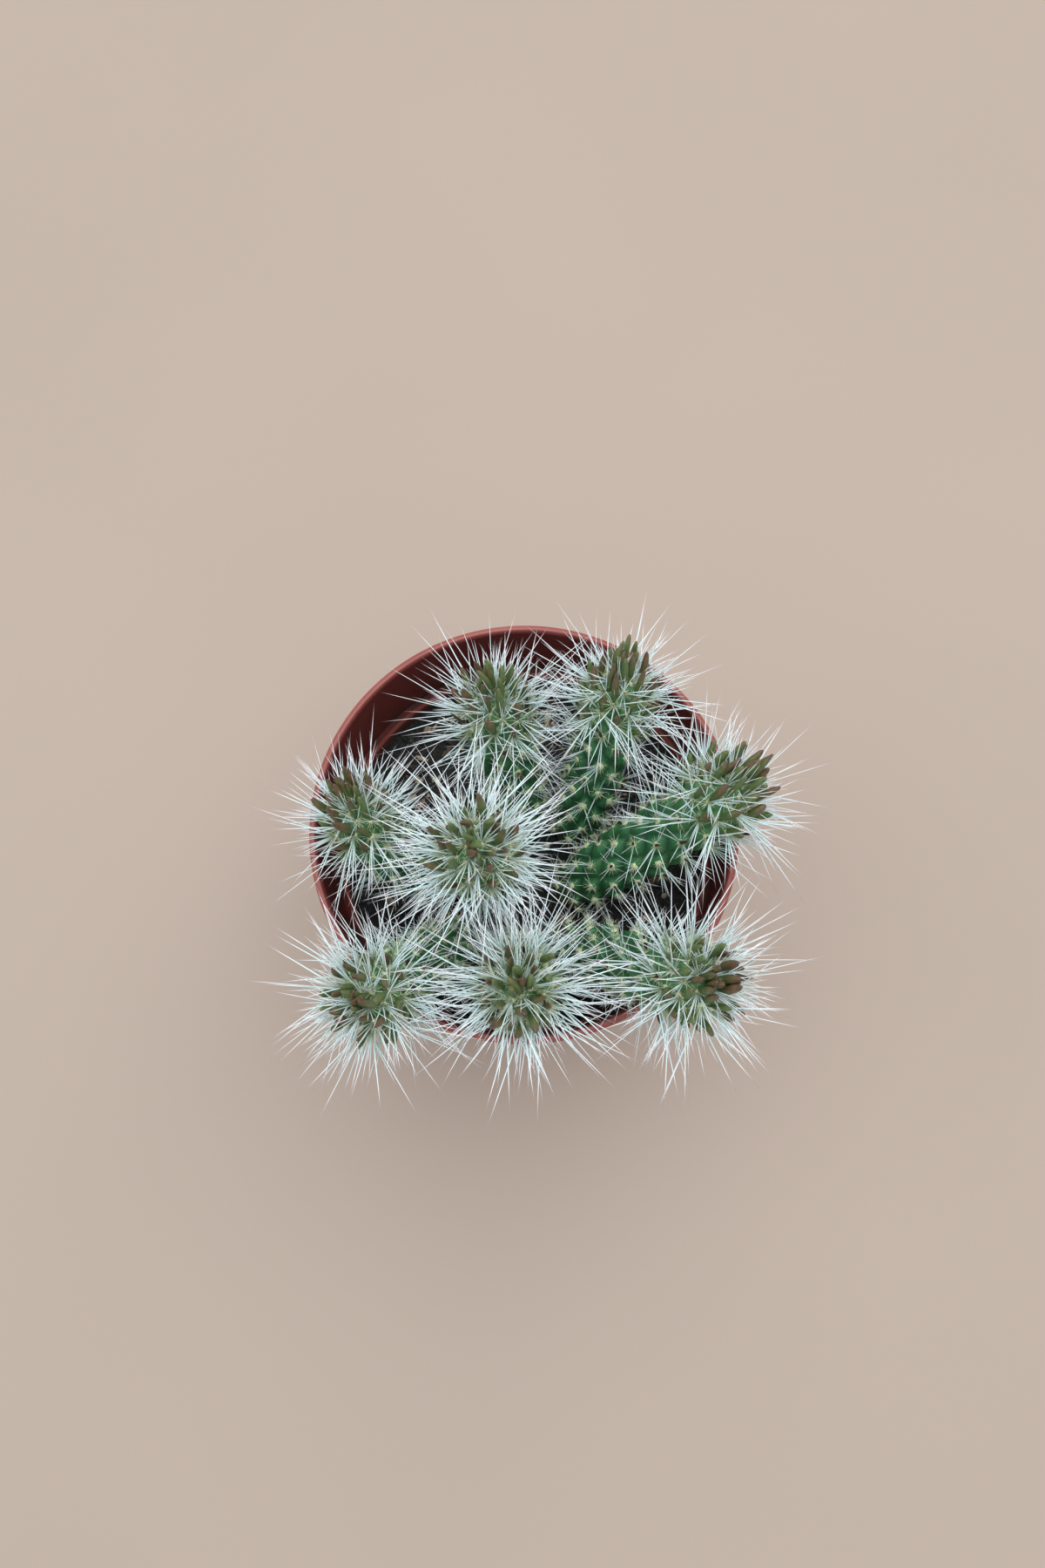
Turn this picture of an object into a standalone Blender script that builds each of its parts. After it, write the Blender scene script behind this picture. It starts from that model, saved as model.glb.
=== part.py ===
"""Potted cholla: eight spiny stems in the soil of a round nursery pot.

Metres, +Z up. The origin is under the middle of the pot, on the surface that it stands on.
"""

import math
import random

import bmesh
import bpy
import numpy as np
from mathutils import Matrix, Vector
from mathutils.geometry import interpolate_bezier

MM = 0.001
GAP = 0.3 * MM

# Pot
POT_HEIGHT = 92 * MM
RIM_RADIUS = 52.5 * MM
LIP_WIDTH = 2.2 * MM
WALL = 1.7 * MM
COLLAR_HEIGHT = 22 * MM
COLLAR_DRAFT = 1.6 * MM
COLLAR_STEP = 2.0 * MM
BASE_RADIUS = 36 * MM
BASE_CHAMFER = 1 * MM
FLOOR = 2.2 * MM
DRAIN_HOLES = 8
DRAIN_RADIUS = 3.5 * MM
DRAIN_CIRCLE = 25 * MM
POT_SIDES = 40
LIP_STEPS = 4
DRAIN_SIDES = 12

# Soil
SOIL_TOP = 66 * MM
SOIL_BUMP = 0.8 * MM
SOIL_WAVES = (7 * MM, 6 * MM, 9 * MM)
SOIL_RINGS = 5
SOIL_SIDES = 24
STEM_DEPTH = 10 * MM
STEM_HOLE_SIDES = 14

# Stems
ROOT_RADIUS = 5.0 * MM
ROOT_HANDLE = 9 * MM
TIP_HANDLE = 16 * MM
SWELL_LENGTH = 24 * MM
CURVE_POINTS = 40
BODY_STEP = 3 * MM
DOME_HEIGHT = 7 * MM
DOME_RINGS = (0.5, 0.85)
DOME_TILT = math.radians(45)
FIRST_RING = 1 * MM
TUBERCLE_COLUMNS = 7
PLACES = 2 * TUBERCLE_COLUMNS
TUBERCLE_PITCH = 5.0 * MM
TUBERCLE_HEIGHT = 1.4 * MM
TUBERCLE_TWIST = math.radians(9)
AREOLE_RISE = 0.9 * MM
AREOLE_TILT = math.radians(20)
AREOLE_RADIUS = 0.5 * MM

# Spines. Each aim is a bearing round the areole and a lean from its normal, in degrees:
# left, down and right. A spine that isn't clear is aimed again, and shortened from the
# sixth try on.
SPINE_AIMS = ((150, 55), (270, 25), (30, 55))
SPINE_MOST_LEAN = 68
SPINE_LONG = 22 * MM
SPINE_SHORT = 8 * MM
SPINE_LEAST = 3.5 * MM
SPINE_FULL_SHARE = 0.8
SPINE_REACH = 0.25 * MM
SPINE_CLEAR = 0.7 * MM
OWN_CLEAR = 0.3 * MM
SPINE_TRIES = 14
SHORTEN_AFTER = 5

# Leaves
LEAF_COUNT = 12
LEAF_ROOT_DEPTH = 4 * MM
LEAF_LENGTH = 9 * MM
LEAF_RADIUS = 1.0 * MM
LEAF_BEND = 0.9 * MM
LEAF_SIDES = 4
LEAF_WIDTHS = ((0, 0.6), (0.55, 1), (0.88, 0.8))
GOLDEN_ANGLE = math.radians(137.5)

# Each stem: where it leaves the soil and where its body ends, in millimetres, how far its
# tip leans from upright towards +X and +Y, in degrees, and its radius over the tubercles.
STEMS = {
    "stem_back_left": ((0, 8.5), (-5.0, 25.0, 117), (-4, 28), 7.3),
    "stem_back_right": ((13.5, 3), (24.6, 26.6, 118), (9, 32), 7.1),
    "stem_right": ((11.5, -12), (48.4, 1.0, 114.5), (30, 25), 8.1),
    "stem_left": ((-22, -9), (-39.0, 2.5, 111), (-10, 30), 7.0),
    "stem_centre": ((-8, -5), (-10.4, -15.8, 139), (0, 5), 7.2),
    "stem_front_left": ((-18, -23.5), (-35.4, -43.6, 126.5), (-9, -8), 7.2),
    "stem_front": ((-4, -28.5), (-2.7, -44.0, 133), (0, -2), 7.0),
    "stem_front_right": ((10, -26.5), (35.6, -44.2, 127), (14, -3), 7.6),
}


def clear_scene():
    for item in list(bpy.data.objects):
        bpy.data.objects.remove(item)


def plain_material(name, colour, roughness):
    material = bpy.data.materials.new(name)
    material.use_nodes = True
    shader = material.node_tree.nodes["Principled BSDF"]
    shader.inputs["Base Color"].default_value = (*colour, 1)
    shader.inputs["Roughness"].default_value = roughness
    shader.inputs["Metallic"].default_value = 0
    return material


def add_object(name, bm, material=None):
    """Turns a bmesh into a scene object, with its faces pointing outwards."""
    bmesh.ops.recalc_face_normals(bm, faces=bm.faces)
    mesh = bpy.data.meshes.new(name)
    bm.to_mesh(mesh)
    bm.free()
    if material:
        mesh.materials.append(material)
    item = bpy.data.objects.new(name, mesh)
    bpy.context.scene.collection.objects.link(item)
    return item


def shade_round(item, angle):
    item.data.shade_smooth()
    item.data.set_sharp_from_angle(angle=math.radians(angle))


def hide_cutter(item):
    item.hide_render = True
    item.display_type = "WIRE"


def settle(item, operation, operand_type, operand):
    """Applies a Boolean to an object and drops the modifier."""
    change = item.modifiers.new(operation.title(), "BOOLEAN")
    change.operation = operation
    change.operand_type = operand_type
    if operand_type == "OBJECT":
        change.object = operand
    else:
        change.collection = operand
    graph = bpy.context.evaluated_depsgraph_get()
    shape = bpy.data.meshes.new_from_object(item.evaluated_get(graph))
    item.modifiers.clear()
    item.data = shape


def turned(profile, sides):
    """A solid of revolution from (radius, height) points that start and end on the axis."""
    bm = bmesh.new()
    points = [bm.verts.new((radius, 0, height)) for radius, height in profile]
    edges = [bm.edges.new(pair) for pair in zip(points, points[1:])]
    bmesh.ops.spin(
        bm,
        geom=points + edges,
        cent=(0, 0, 0),
        axis=(0, 0, 1),
        angle=math.tau,
        steps=sides,
        use_merge=True,
    )
    bmesh.ops.remove_doubles(bm, verts=bm.verts, dist=0.001 * MM)
    return bm


def upright_rods(places, radius, low, high, sides):
    """Upright cylinders that don't touch, in one object, as a cutter."""
    bm = bmesh.new()
    for x, y in places:
        bmesh.ops.create_cone(
            bm,
            cap_ends=True,
            segments=sides,
            radius1=radius,
            radius2=radius,
            depth=high - low,
            matrix=Matrix.Translation((x, y, (low + high) / 2)),
        )
    cutter = add_object("cutter", bm)
    hide_cutter(cutter)
    return cutter


def bored(item, places, radius, low, high, sides):
    cutter = upright_rods(places, radius, low, high, sides)
    settle(item, "DIFFERENCE", "OBJECT", cutter)
    bpy.data.objects.remove(cutter)


def collar_foot():
    """Height and outer radius where the deep collar ends."""
    return POT_HEIGHT - COLLAR_HEIGHT, RIM_RADIUS - COLLAR_DRAFT


def pot_inner_radius(height):
    """Radius of the pot's inner wall at a height."""
    foot_height, foot_radius = collar_foot()
    if height >= foot_height:
        share = (height - foot_height) / COLLAR_HEIGHT
        return foot_radius - WALL + share * (COLLAR_DRAFT + WALL - LIP_WIDTH)
    share = max(height - FLOOR, 0) / (foot_height - FLOOR)
    low = BASE_RADIUS - WALL
    return low + share * (foot_radius - COLLAR_STEP - WALL - low)


def make_pot(material):
    foot_height, foot_radius = collar_foot()
    lip_round = LIP_WIDTH / 2
    profile = [(0, 0), (BASE_RADIUS - BASE_CHAMFER, 0), (BASE_RADIUS, BASE_CHAMFER)]
    profile.append((foot_radius - COLLAR_STEP, foot_height - COLLAR_STEP))
    profile.append((foot_radius, foot_height))
    for step in range(LIP_STEPS + 1):
        angle = math.pi * step / LIP_STEPS
        across = RIM_RADIUS - lip_round + lip_round * math.cos(angle)
        profile.append((across, POT_HEIGHT - lip_round + lip_round * math.sin(angle)))
    profile.append((pot_inner_radius(foot_height), foot_height))
    below_step = foot_height - COLLAR_STEP
    profile.append((pot_inner_radius(below_step), below_step))
    profile += [(pot_inner_radius(FLOOR), FLOOR), (0, FLOOR)]
    pot = add_object("pot", turned(profile, POT_SIDES), material)
    places = []
    for hole in range(DRAIN_HOLES):
        angle = math.tau * hole / DRAIN_HOLES
        places.append((DRAIN_CIRCLE * math.cos(angle), DRAIN_CIRCLE * math.sin(angle)))
    bored(pot, places, DRAIN_RADIUS, -FLOOR, 2 * FLOOR, DRAIN_SIDES)
    shade_round(pot, 40)


def soil_height(x, y):
    """A gently uneven surface, built from a few crossing waves."""
    across, back, slant = SOIL_WAVES
    bump = math.sin(x / across) * math.cos(y / back)
    bump += 0.6 * math.sin((x + 2 * y) / slant + 1.3)
    return SOIL_TOP + SOIL_BUMP * bump / 1.6


def make_soil(material):
    bm = bmesh.new()
    wall = pot_inner_radius(SOIL_TOP) - GAP
    low_wall = pot_inner_radius(FLOOR + GAP) - GAP
    centre = bm.verts.new((0, 0, soil_height(0, 0)))
    rings = []
    for ring in range(1, SOIL_RINGS + 1):
        radius = wall * ring / SOIL_RINGS
        points = []
        for side in range(SOIL_SIDES):
            angle = math.tau * (side + 0.5 * (ring % 2)) / SOIL_SIDES
            x, y = radius * math.cos(angle), radius * math.sin(angle)
            level = SOIL_TOP if ring == SOIL_RINGS else soil_height(x, y)
            points.append(bm.verts.new((x, y, level)))
        rings.append(points)
    narrowing = low_wall / wall
    foot = []
    for point in rings[-1]:
        x, y, _ = point.co * narrowing
        foot.append(bm.verts.new((x, y, FLOOR + GAP)))
    rings.append(foot)
    for side in range(SOIL_SIDES):
        after = (side + 1) % SOIL_SIDES
        bm.faces.new((centre, rings[0][side], rings[0][after]))
        for inner, outer in zip(rings, rings[1:]):
            bm.faces.new((inner[side], outer[side], outer[after], inner[after]))
    bm.faces.new(foot)
    bmesh.ops.triangulate(bm, faces=bm.faces)
    soil = add_object("soil", bm, material)
    places = [(x * MM, y * MM) for (x, y), _, _, _ in STEMS.values()]
    low = SOIL_TOP - STEM_DEPTH - GAP
    bored(soil, places, ROOT_RADIUS + GAP, low, SOIL_TOP + 5 * MM, STEM_HOLE_SIDES)
    shade_round(soil, 50)


class Axis:
    """The middle line of a stem, measured along its length from its buried foot."""

    def __init__(self, base, tip, lean, radius):
        base = Vector((base[0] * MM, base[1] * MM, SOIL_TOP))
        tip = Vector(tip) * MM
        over_x, over_y = (math.tan(math.radians(angle)) for angle in lean)
        tip_way = Vector((over_x, over_y, 1)).normalized()
        up = Vector((0, 0, 1))
        root_end = base + up * ROOT_HANDLE
        curve = interpolate_bezier(base, root_end, tip - tip_way * TIP_HANDLE, tip, CURVE_POINTS)
        self.points = [base - up * STEM_DEPTH, *curve]
        self.marks = [0.0]
        for low, high in zip(self.points, self.points[1:]):
            self.marks.append(self.marks[-1] + (high - low).length)
        self.length = self.marks[-1]
        self.radius = radius * MM - TUBERCLE_HEIGHT

    def frame(self, along):
        """Centre, two directions across and the direction along, at a length."""
        step = int(np.clip(np.searchsorted(self.marks, along) - 1, 0, len(self.points) - 2))
        low, high = self.points[step], self.points[step + 1]
        share = (along - self.marks[step]) / (self.marks[step + 1] - self.marks[step])
        before = self.points[max(step - 1, 0)]
        after = self.points[min(step + 2, len(self.points) - 1)]
        way = (high - low).normalized()
        way = way.lerp((high - before).normalized(), 0.5 * max(0.5 - share, 0))
        way = way.lerp((after - low).normalized(), 0.5 * max(share - 0.5, 0)).normalized()
        side = (Vector((1, 0, 0)) - way * way.x).normalized()
        return low.lerp(high, share), side, way.cross(side), way

    def into_dome(self, along):
        """0 up to the shoulder, then rising to 1 at the stem's end."""
        return max((along - self.length + DOME_HEIGHT) / DOME_HEIGHT, 0)

    def girth(self, along):
        """Radius of the stem between its tubercles."""
        share = min(max((along - STEM_DEPTH) / SWELL_LENGTH, 0), 1)
        radius = ROOT_RADIUS + (self.radius - ROOT_RADIUS) * share * share * (3 - 2 * share)
        return radius * math.sqrt(max(1 - self.into_dome(along) ** 2, 0))

    def on_surface(self, along, angle, rise=0.0):
        """Point, normal, sideways and upward directions on the stem's skin."""
        centre, side, forward, way = self.frame(along)
        outward = side * math.cos(angle) + forward * math.sin(angle)
        around = forward * math.cos(angle) - side * math.sin(angle)
        tilt = AREOLE_TILT + self.into_dome(along) * DOME_TILT
        normal = outward * math.cos(tilt) + way * math.sin(tilt)
        upward = way * math.cos(tilt) - outward * math.sin(tilt)
        return centre + outward * (self.girth(along) + rise), normal, around, upward


class Clearance:
    """What stands where, so that each new spine can be bent clear of it."""

    def __init__(self):
        self.starts = np.empty((0, 3))
        self.ends = np.empty((0, 3))
        self.reach = np.empty(0)
        self.owners = np.empty((0, 2), int)

    def add(self, start, end, reach, stem, areole):
        """Takes in one round bar. Bodies and leaves have no areole, which is given as -1."""
        self.starts = np.vstack([self.starts, start])
        self.ends = np.vstack([self.ends, end])
        self.reach = np.append(self.reach, reach)
        self.owners = np.vstack([self.owners, (stem, areole)])

    def free(self, start, end, stem, areole):
        """Whether a spine is clear of the pot, the soil, other stems and other areoles."""
        if not clear_of_pot(start, end):
            return False
        own_stem = self.owners[:, 0] == stem
        own_body = own_stem & (self.owners[:, 1] < 0)
        own_areole = own_stem & (self.owners[:, 1] == areole)
        needed = self.reach + np.where(own_stem, OWN_CLEAR, SPINE_CLEAR)
        needed[own_body | own_areole] = 0
        return bool((segment_distances(start, end, self.starts, self.ends) >= needed).all())


def segment_distances(start, end, starts, ends):
    """Shortest distance from one segment to each of many."""
    way = np.array(end) - np.array(start)
    ways = ends - starts
    apart = np.array(start) - starts
    size, sizes = way @ way, (ways * ways).sum(1)
    along, crossing = apart @ way, ways @ way
    alongs = (ways * apart).sum(1)
    spread = np.maximum(size * sizes - crossing**2, 1e-18)
    here = np.clip((crossing * alongs - along * sizes) / spread, 0, 1)
    there = np.clip((crossing * here + alongs) / sizes, 0, 1)
    here = np.clip((crossing * there - along) / size, 0, 1)
    gaps = apart + here[:, None] * way - there[:, None] * ways
    return np.sqrt((gaps * gaps).sum(1))


def clear_of_pot(start, end):
    for share in (0.25, 0.4, 0.55, 0.7, 0.8, 0.9, 1):
        point = start.lerp(end, share)
        across = math.hypot(point.x, point.y)
        if point.z > POT_HEIGHT + SPINE_CLEAR or across > RIM_RADIUS + SPINE_CLEAR:
            continue
        if across > pot_inner_radius(point.z) - SPINE_CLEAR:
            return False
        if point.z < SOIL_TOP + SOIL_BUMP + SPINE_CLEAR:
            return False
    return True


def ring_lengths(axis):
    """Where the rings of tubercles sit along a stem, from the soil to the top of its dome."""
    start = STEM_DEPTH + FIRST_RING
    shoulder = axis.length - DOME_HEIGHT
    count = round((shoulder - start) / TUBERCLE_PITCH)
    rings = [start + (shoulder - start) * step / count for step in range(count + 1)]
    return rings + [shoulder + DOME_HEIGHT * share for share in DOME_RINGS]


def aimed(normal, around, upward, bearing, lean):
    """A direction leaning from the normal by an angle, towards a bearing round the areole."""
    bearing, lean = math.radians(bearing), math.radians(lean)
    across = around * math.cos(bearing) + upward * math.sin(bearing)
    return normal * math.cos(lean) + across * math.sin(lean)


class StemSkin:
    """The body of a stem: spiral rows of diamond-shaped tubercles, each raised to an areole
    whose three facets are drawn out into spines."""

    def __init__(self, stem, axis, taken, draw):
        self.bm = bmesh.new()
        self.stem = stem
        self.axis = axis
        self.taken = taken
        self.draw = draw
        self.rings = ring_lengths(axis)
        self.areoles = 0
        self.valleys = {}
        for ring, along in enumerate(self.rings):
            for place in range((ring + 1) % 2, PLACES, 2):
                point = axis.on_surface(along, self.angle(place, ring))[0]
                self.valleys[place, ring] = self.bm.verts.new(point)
        self.close_foot()
        self.close_top()
        for ring in range(len(self.rings) - 2, 0, -1):
            for place in range(ring % 2, PLACES, 2):
                self.raise_tubercle(place, ring)
        bmesh.ops.triangulate(self.bm, faces=self.bm.faces)

    def angle(self, place, ring):
        return math.tau * place / PLACES + TUBERCLE_TWIST * ring

    def valley(self, place, ring):
        return self.valleys[place % PLACES, ring]

    def close_foot(self):
        """The plain buried shank, up to the first row of tubercles."""
        feet = []
        for place in range(1, PLACES, 2):
            point = self.axis.on_surface(0, self.angle(place, 0))[0]
            feet.append(self.bm.verts.new(point))
        self.bm.faces.new(feet)
        for step, before in enumerate(feet):
            after = feet[(step + 1) % len(feet)]
            left, right = self.valley(2 * step + 1, 0), self.valley(2 * step + 3, 0)
            self.bm.faces.new((before, after, right, left))
            self.bm.faces.new((left, right, self.valley(2 * step + 2, 1)))

    def close_top(self):
        last = len(self.rings) - 1
        apex = self.bm.verts.new(self.axis.frame(self.axis.length)[0])
        for place in range((last + 1) % 2, PLACES, 2):
            left, right = self.valley(place, last), self.valley(place + 2, last)
            self.bm.faces.new((left, right, apex))
            self.bm.faces.new((right, left, self.valley(place + 1, last - 1)))

    def raise_tubercle(self, place, ring):
        """Four sloping sides from the valley points up to a small three-cornered pad."""
        along, height = self.rings[ring] + AREOLE_RISE, TUBERCLE_HEIGHT
        if self.axis.into_dome(self.rings[ring]) > 0.5:
            along, height = self.rings[ring], TUBERCLE_HEIGHT / 2
        centre, *frame = self.axis.on_surface(along, self.angle(place, ring), height)
        pad = []
        for bearing in (90, 210, 330):
            corner = centre + aimed(*frame, bearing, 90) * AREOLE_RADIUS
            pad.append(self.bm.verts.new(corner))
        peak, left_toe, right_toe = pad
        right, top = self.valley(place + 1, ring), self.valley(place, ring + 1)
        left, bottom = self.valley(place - 1, ring), self.valley(place, ring - 1)
        for face in (
            (right, top, peak),
            (top, left, peak),
            (left, left_toe, peak),
            (left, bottom, left_toe),
            (bottom, right_toe, left_toe),
            (bottom, right, right_toe),
            (right, peak, right_toe),
        ):
            self.bm.faces.new(face)
        facets = ((peak, left_toe), (left_toe, right_toe), (right_toe, peak))
        self.draw_out_spines(self.rings[ring], centre, frame, facets)

    def draw_out_spines(self, along, centre, frame, facets):
        """A spine from each facet of the pad. A facet whose spine finds no room stays flat."""
        self.areoles += 1
        share = (along - STEM_DEPTH) / (self.axis.length - STEM_DEPTH)
        growth = min(share / SPINE_FULL_SHARE, 1) ** 1.3
        full_length = SPINE_SHORT + (SPINE_LONG - SPINE_SHORT) * growth
        middle = self.bm.verts.new(centre)
        for (first, second), (bearing, lean) in zip(facets, SPINE_AIMS):
            length = full_length * self.draw.uniform(0.72, 1.08)
            end = self.spine_tip(centre, frame, bearing, lean, length)
            if end is None:
                self.bm.faces.new((middle, first, second))
                continue
            point = self.bm.verts.new(end)
            self.bm.faces.new((middle, first, point))
            self.bm.faces.new((first, second, point))
            self.bm.faces.new((second, middle, point))

    def spine_tip(self, root, frame, bearing, lean, length):
        """The end of a spine, bent and at last shortened until it is clear, or None."""
        for attempt in range(SPINE_TRIES):
            loose = 8 + 3 * attempt
            new_bearing = bearing + self.draw.uniform(-loose, loose)
            new_lean = min(max(lean + self.draw.uniform(-loose, loose), 5), SPINE_MOST_LEAN)
            reach = length * (1 - 0.75 * max(attempt - SHORTEN_AFTER, 0) / SPINE_TRIES)
            end = root + aimed(*frame, new_bearing, new_lean) * reach
            if reach > SPINE_LEAST and self.taken.free(root, end, self.stem, self.areoles):
                self.taken.add(root, end, SPINE_REACH, self.stem, self.areoles)
                return end
        return None


def leaf_places(axis, draw):
    """Root, direction and length of each leaf, from the middle of the rosette outwards."""
    root, side, forward, way = axis.frame(axis.length - LEAF_ROOT_DEPTH)
    for leaf in range(LEAF_COUNT):
        share = leaf / (LEAF_COUNT - 1)
        lean = math.radians(10 + 56 * share**0.8 + draw.uniform(-4, 4))
        angle = leaf * GOLDEN_ANGLE + draw.uniform(-0.2, 0.2)
        across = side * math.cos(angle) + forward * math.sin(angle)
        leaf_way = way * math.cos(lean) + across * math.sin(lean)
        length = LEAF_ROOT_DEPTH + LEAF_LENGTH * draw.uniform(0.8, 1.1) * (1 - 0.25 * share)
        yield root + across * LEAF_RADIUS, leaf_way, length, way


def leaf_mesh(root, leaf_way, length, stem_way):
    """A fleshy leaf: a tapering bar that curves a little towards the stem's axis."""
    bm = bmesh.new()
    side = leaf_way.cross(stem_way).normalized()
    forward = side.cross(leaf_way)
    rings = []
    for share, width in LEAF_WIDTHS:
        bend = stem_way * LEAF_BEND * share * share
        centre = root + leaf_way * length * share + bend
        ring = []
        for corner in range(LEAF_SIDES):
            angle = math.tau * corner / LEAF_SIDES
            across = side * math.cos(angle) + forward * math.sin(angle)
            ring.append(bm.verts.new(centre + across * LEAF_RADIUS * width))
        rings.append(ring)
    tip = bm.verts.new(root + leaf_way * length + stem_way * LEAF_BEND)
    bm.faces.new(rings[0])
    for corner in range(LEAF_SIDES):
        after = (corner + 1) % LEAF_SIDES
        for low, high in zip(rings, rings[1:]):
            bm.faces.new((low[corner], low[after], high[after], high[corner]))
        bm.faces.new((rings[-1][corner], rings[-1][after], tip))
    bmesh.ops.triangulate(bm, faces=bm.faces)
    return bm


def register_bodies(axes, leaves, taken):
    """Tells the clearance where the stems' bodies and leaves are."""
    for stem, (name, axis) in enumerate(axes.items()):
        marks = np.arange(0, axis.length, BODY_STEP)
        for low, high in zip(marks, marks[1:]):
            reach = max(axis.girth(low), axis.girth(high)) + TUBERCLE_HEIGHT
            taken.add(axis.frame(low)[0], axis.frame(high)[0], reach, stem, -1)
        for root, leaf_way, length, way in leaves[name]:
            tip = root + leaf_way * length + way * LEAF_BEND
            taken.add(root, tip, LEAF_RADIUS, stem, -1)


def join_leaves(body, places):
    rosette = bpy.data.collections.new("rosette")
    bpy.context.scene.collection.children.link(rosette)
    for place in places:
        leaf = add_object("leaf", leaf_mesh(*place))
        bpy.context.scene.collection.objects.unlink(leaf)
        rosette.objects.link(leaf)
    settle(body, "UNION", "COLLECTION", rosette)
    for leaf in list(rosette.objects):
        bpy.data.objects.remove(leaf)
    bpy.data.collections.remove(rosette)


def make_stems():
    axes = {name: Axis(*facts) for name, facts in STEMS.items()}
    draw = random.Random(7)
    leaves = {name: list(leaf_places(axis, draw)) for name, axis in axes.items()}
    taken = Clearance()
    register_bodies(axes, leaves, taken)
    for stem, (name, axis) in enumerate(axes.items()):
        skin = StemSkin(stem, axis, taken, draw)
        material = plain_material(f"{name}_skin", (0.03, 0.13, 0.05), 0.6)
        body = add_object(name, skin.bm, material)
        join_leaves(body, leaves[name])
        shade_round(body, 60)


def main():
    clear_scene()
    bpy.context.scene.unit_settings.system = "METRIC"
    make_pot(plain_material("pot_plastic", (0.36, 0.085, 0.07), 0.5))
    make_soil(plain_material("potting_soil", (0.015, 0.012, 0.01), 0.95))
    make_stems()


main()
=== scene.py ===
# %% [markdown]
# # A potted cholla
#
# This lesson dresses a small cactus in its nursery pot. The solid model that is loaded first
# is plain: coarse stems, a few needles, a smooth plug of soil. It fixes where everything
# stands and how large it is, and the cells below swap each plain solid for finer pieces in
# the same place. All lengths are in metres, +Z is up, and the pot stands on the floor at
# the origin.

# %% Load the solid model
import math

import bmesh
import bpy
from mathutils import Matrix, Vector, noise
from mathutils.geometry import interpolate_bezier


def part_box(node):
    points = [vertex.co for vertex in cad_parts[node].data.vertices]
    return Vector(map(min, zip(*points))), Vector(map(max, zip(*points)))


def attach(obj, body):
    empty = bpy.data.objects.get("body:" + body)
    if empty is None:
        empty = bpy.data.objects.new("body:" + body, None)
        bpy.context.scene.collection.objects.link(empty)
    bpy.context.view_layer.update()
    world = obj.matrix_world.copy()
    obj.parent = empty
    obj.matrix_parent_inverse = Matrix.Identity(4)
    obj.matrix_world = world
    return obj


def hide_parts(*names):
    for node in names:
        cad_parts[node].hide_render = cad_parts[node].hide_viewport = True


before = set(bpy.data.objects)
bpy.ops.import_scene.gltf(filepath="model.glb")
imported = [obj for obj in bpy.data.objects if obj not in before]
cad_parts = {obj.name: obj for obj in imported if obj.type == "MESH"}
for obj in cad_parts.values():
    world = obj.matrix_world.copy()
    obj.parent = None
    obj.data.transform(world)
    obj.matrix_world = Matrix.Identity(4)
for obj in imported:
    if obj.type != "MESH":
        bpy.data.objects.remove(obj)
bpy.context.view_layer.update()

MM = 0.001

# %% [markdown]
# ## Sizes
#
# The pot's height and rim come from the solid model itself. The stems need more than a box
# can tell, so their plan is repeated here: where each one leaves the soil, where its body
# ends, how far its tip leans towards +X and +Y in degrees, and its radius over the bumps.

# %% Sizes of the pot, the soil and the stems
RIM_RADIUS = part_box("pot")[1].x
POT_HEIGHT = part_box("pot")[1].z
LIP_WIDTH = 2.2 * MM
WALL = 1.7 * MM
COLLAR_HEIGHT = 22 * MM
COLLAR_DRAFT = 1.6 * MM
COLLAR_STEP = 2.0 * MM
BASE_RADIUS = 36 * MM
FLOOR = 2.2 * MM
SOIL_WALL = RIM_RADIUS - COLLAR_DRAFT - COLLAR_STEP - WALL - 0.6 * MM
SOIL_TOP = 66 * MM
STEM_DEPTH = 10 * MM
ROOT_RADIUS = 5.0 * MM
ROOT_HANDLE = 9 * MM
TIP_HANDLE = 16 * MM
SWELL_LENGTH = 24 * MM
DOME_HEIGHT = 7 * MM
TUBERCLE_HEIGHT = 1.4 * MM

STEMS = {
    "stem_back_left": ((0, 8.5), (-5.0, 25.0, 117), (-4, 28), 7.3),
    "stem_back_right": ((13.5, 3), (24.6, 26.6, 118), (9, 32), 7.1),
    "stem_right": ((11.5, -12), (48.4, 1.0, 114.5), (30, 25), 8.1),
    "stem_left": ((-22, -9), (-39.0, 2.5, 111), (-10, 30), 7.0),
    "stem_centre": ((-8, -5), (-10.4, -15.8, 139), (0, 5), 7.2),
    "stem_front_left": ((-18, -23.5), (-35.4, -43.6, 126.5), (-9, -8), 7.2),
    "stem_front": ((-4, -28.5), (-2.7, -44.0, 133), (0, -2), 7.0),
    "stem_front_right": ((10, -26.5), (35.6, -44.2, 127), (14, -3), 7.6),
}
print(len(STEMS), "stems in a pot", round(2 * RIM_RADIUS / MM), "mm across")

# %% [markdown]
# ## The middle line of each stem
#
# A stem grows straight out of the soil and then bends towards the light. One Bezier curve
# does both: its first handle points straight up and its last one along the stem's tip. The
# line starts below the surface, where the stem is buried.

# %% Draw the middle lines
LINE_POINTS = 40


def put_in_scene(name, data):
    item = bpy.data.objects.new(name, data)
    bpy.context.scene.collection.objects.link(item)
    return item


def middle_line(name, base, tip, lean):
    foot = Vector((base[0] * MM, base[1] * MM, SOIL_TOP))
    end = Vector(tip) * MM
    over_x, over_y = (math.tan(math.radians(angle)) for angle in lean)
    end_way = Vector((over_x, over_y, 1)).normalized()
    up = Vector((0, 0, 1))
    handles = (foot + up * ROOT_HANDLE, end - end_way * TIP_HANDLE)
    bend = interpolate_bezier(foot, *handles, end, LINE_POINTS)
    points = [foot - up * STEM_DEPTH, *bend]
    curve = bpy.data.curves.new(f"{name}_line", "CURVE")
    curve.dimensions = "3D"
    spline = curve.splines.new("POLY")
    spline.points.add(len(points) - 1)
    for spot, point in zip(spline.points, points):
        spot.co = (*point, 1)
    return put_in_scene(curve.name, curve)


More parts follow.
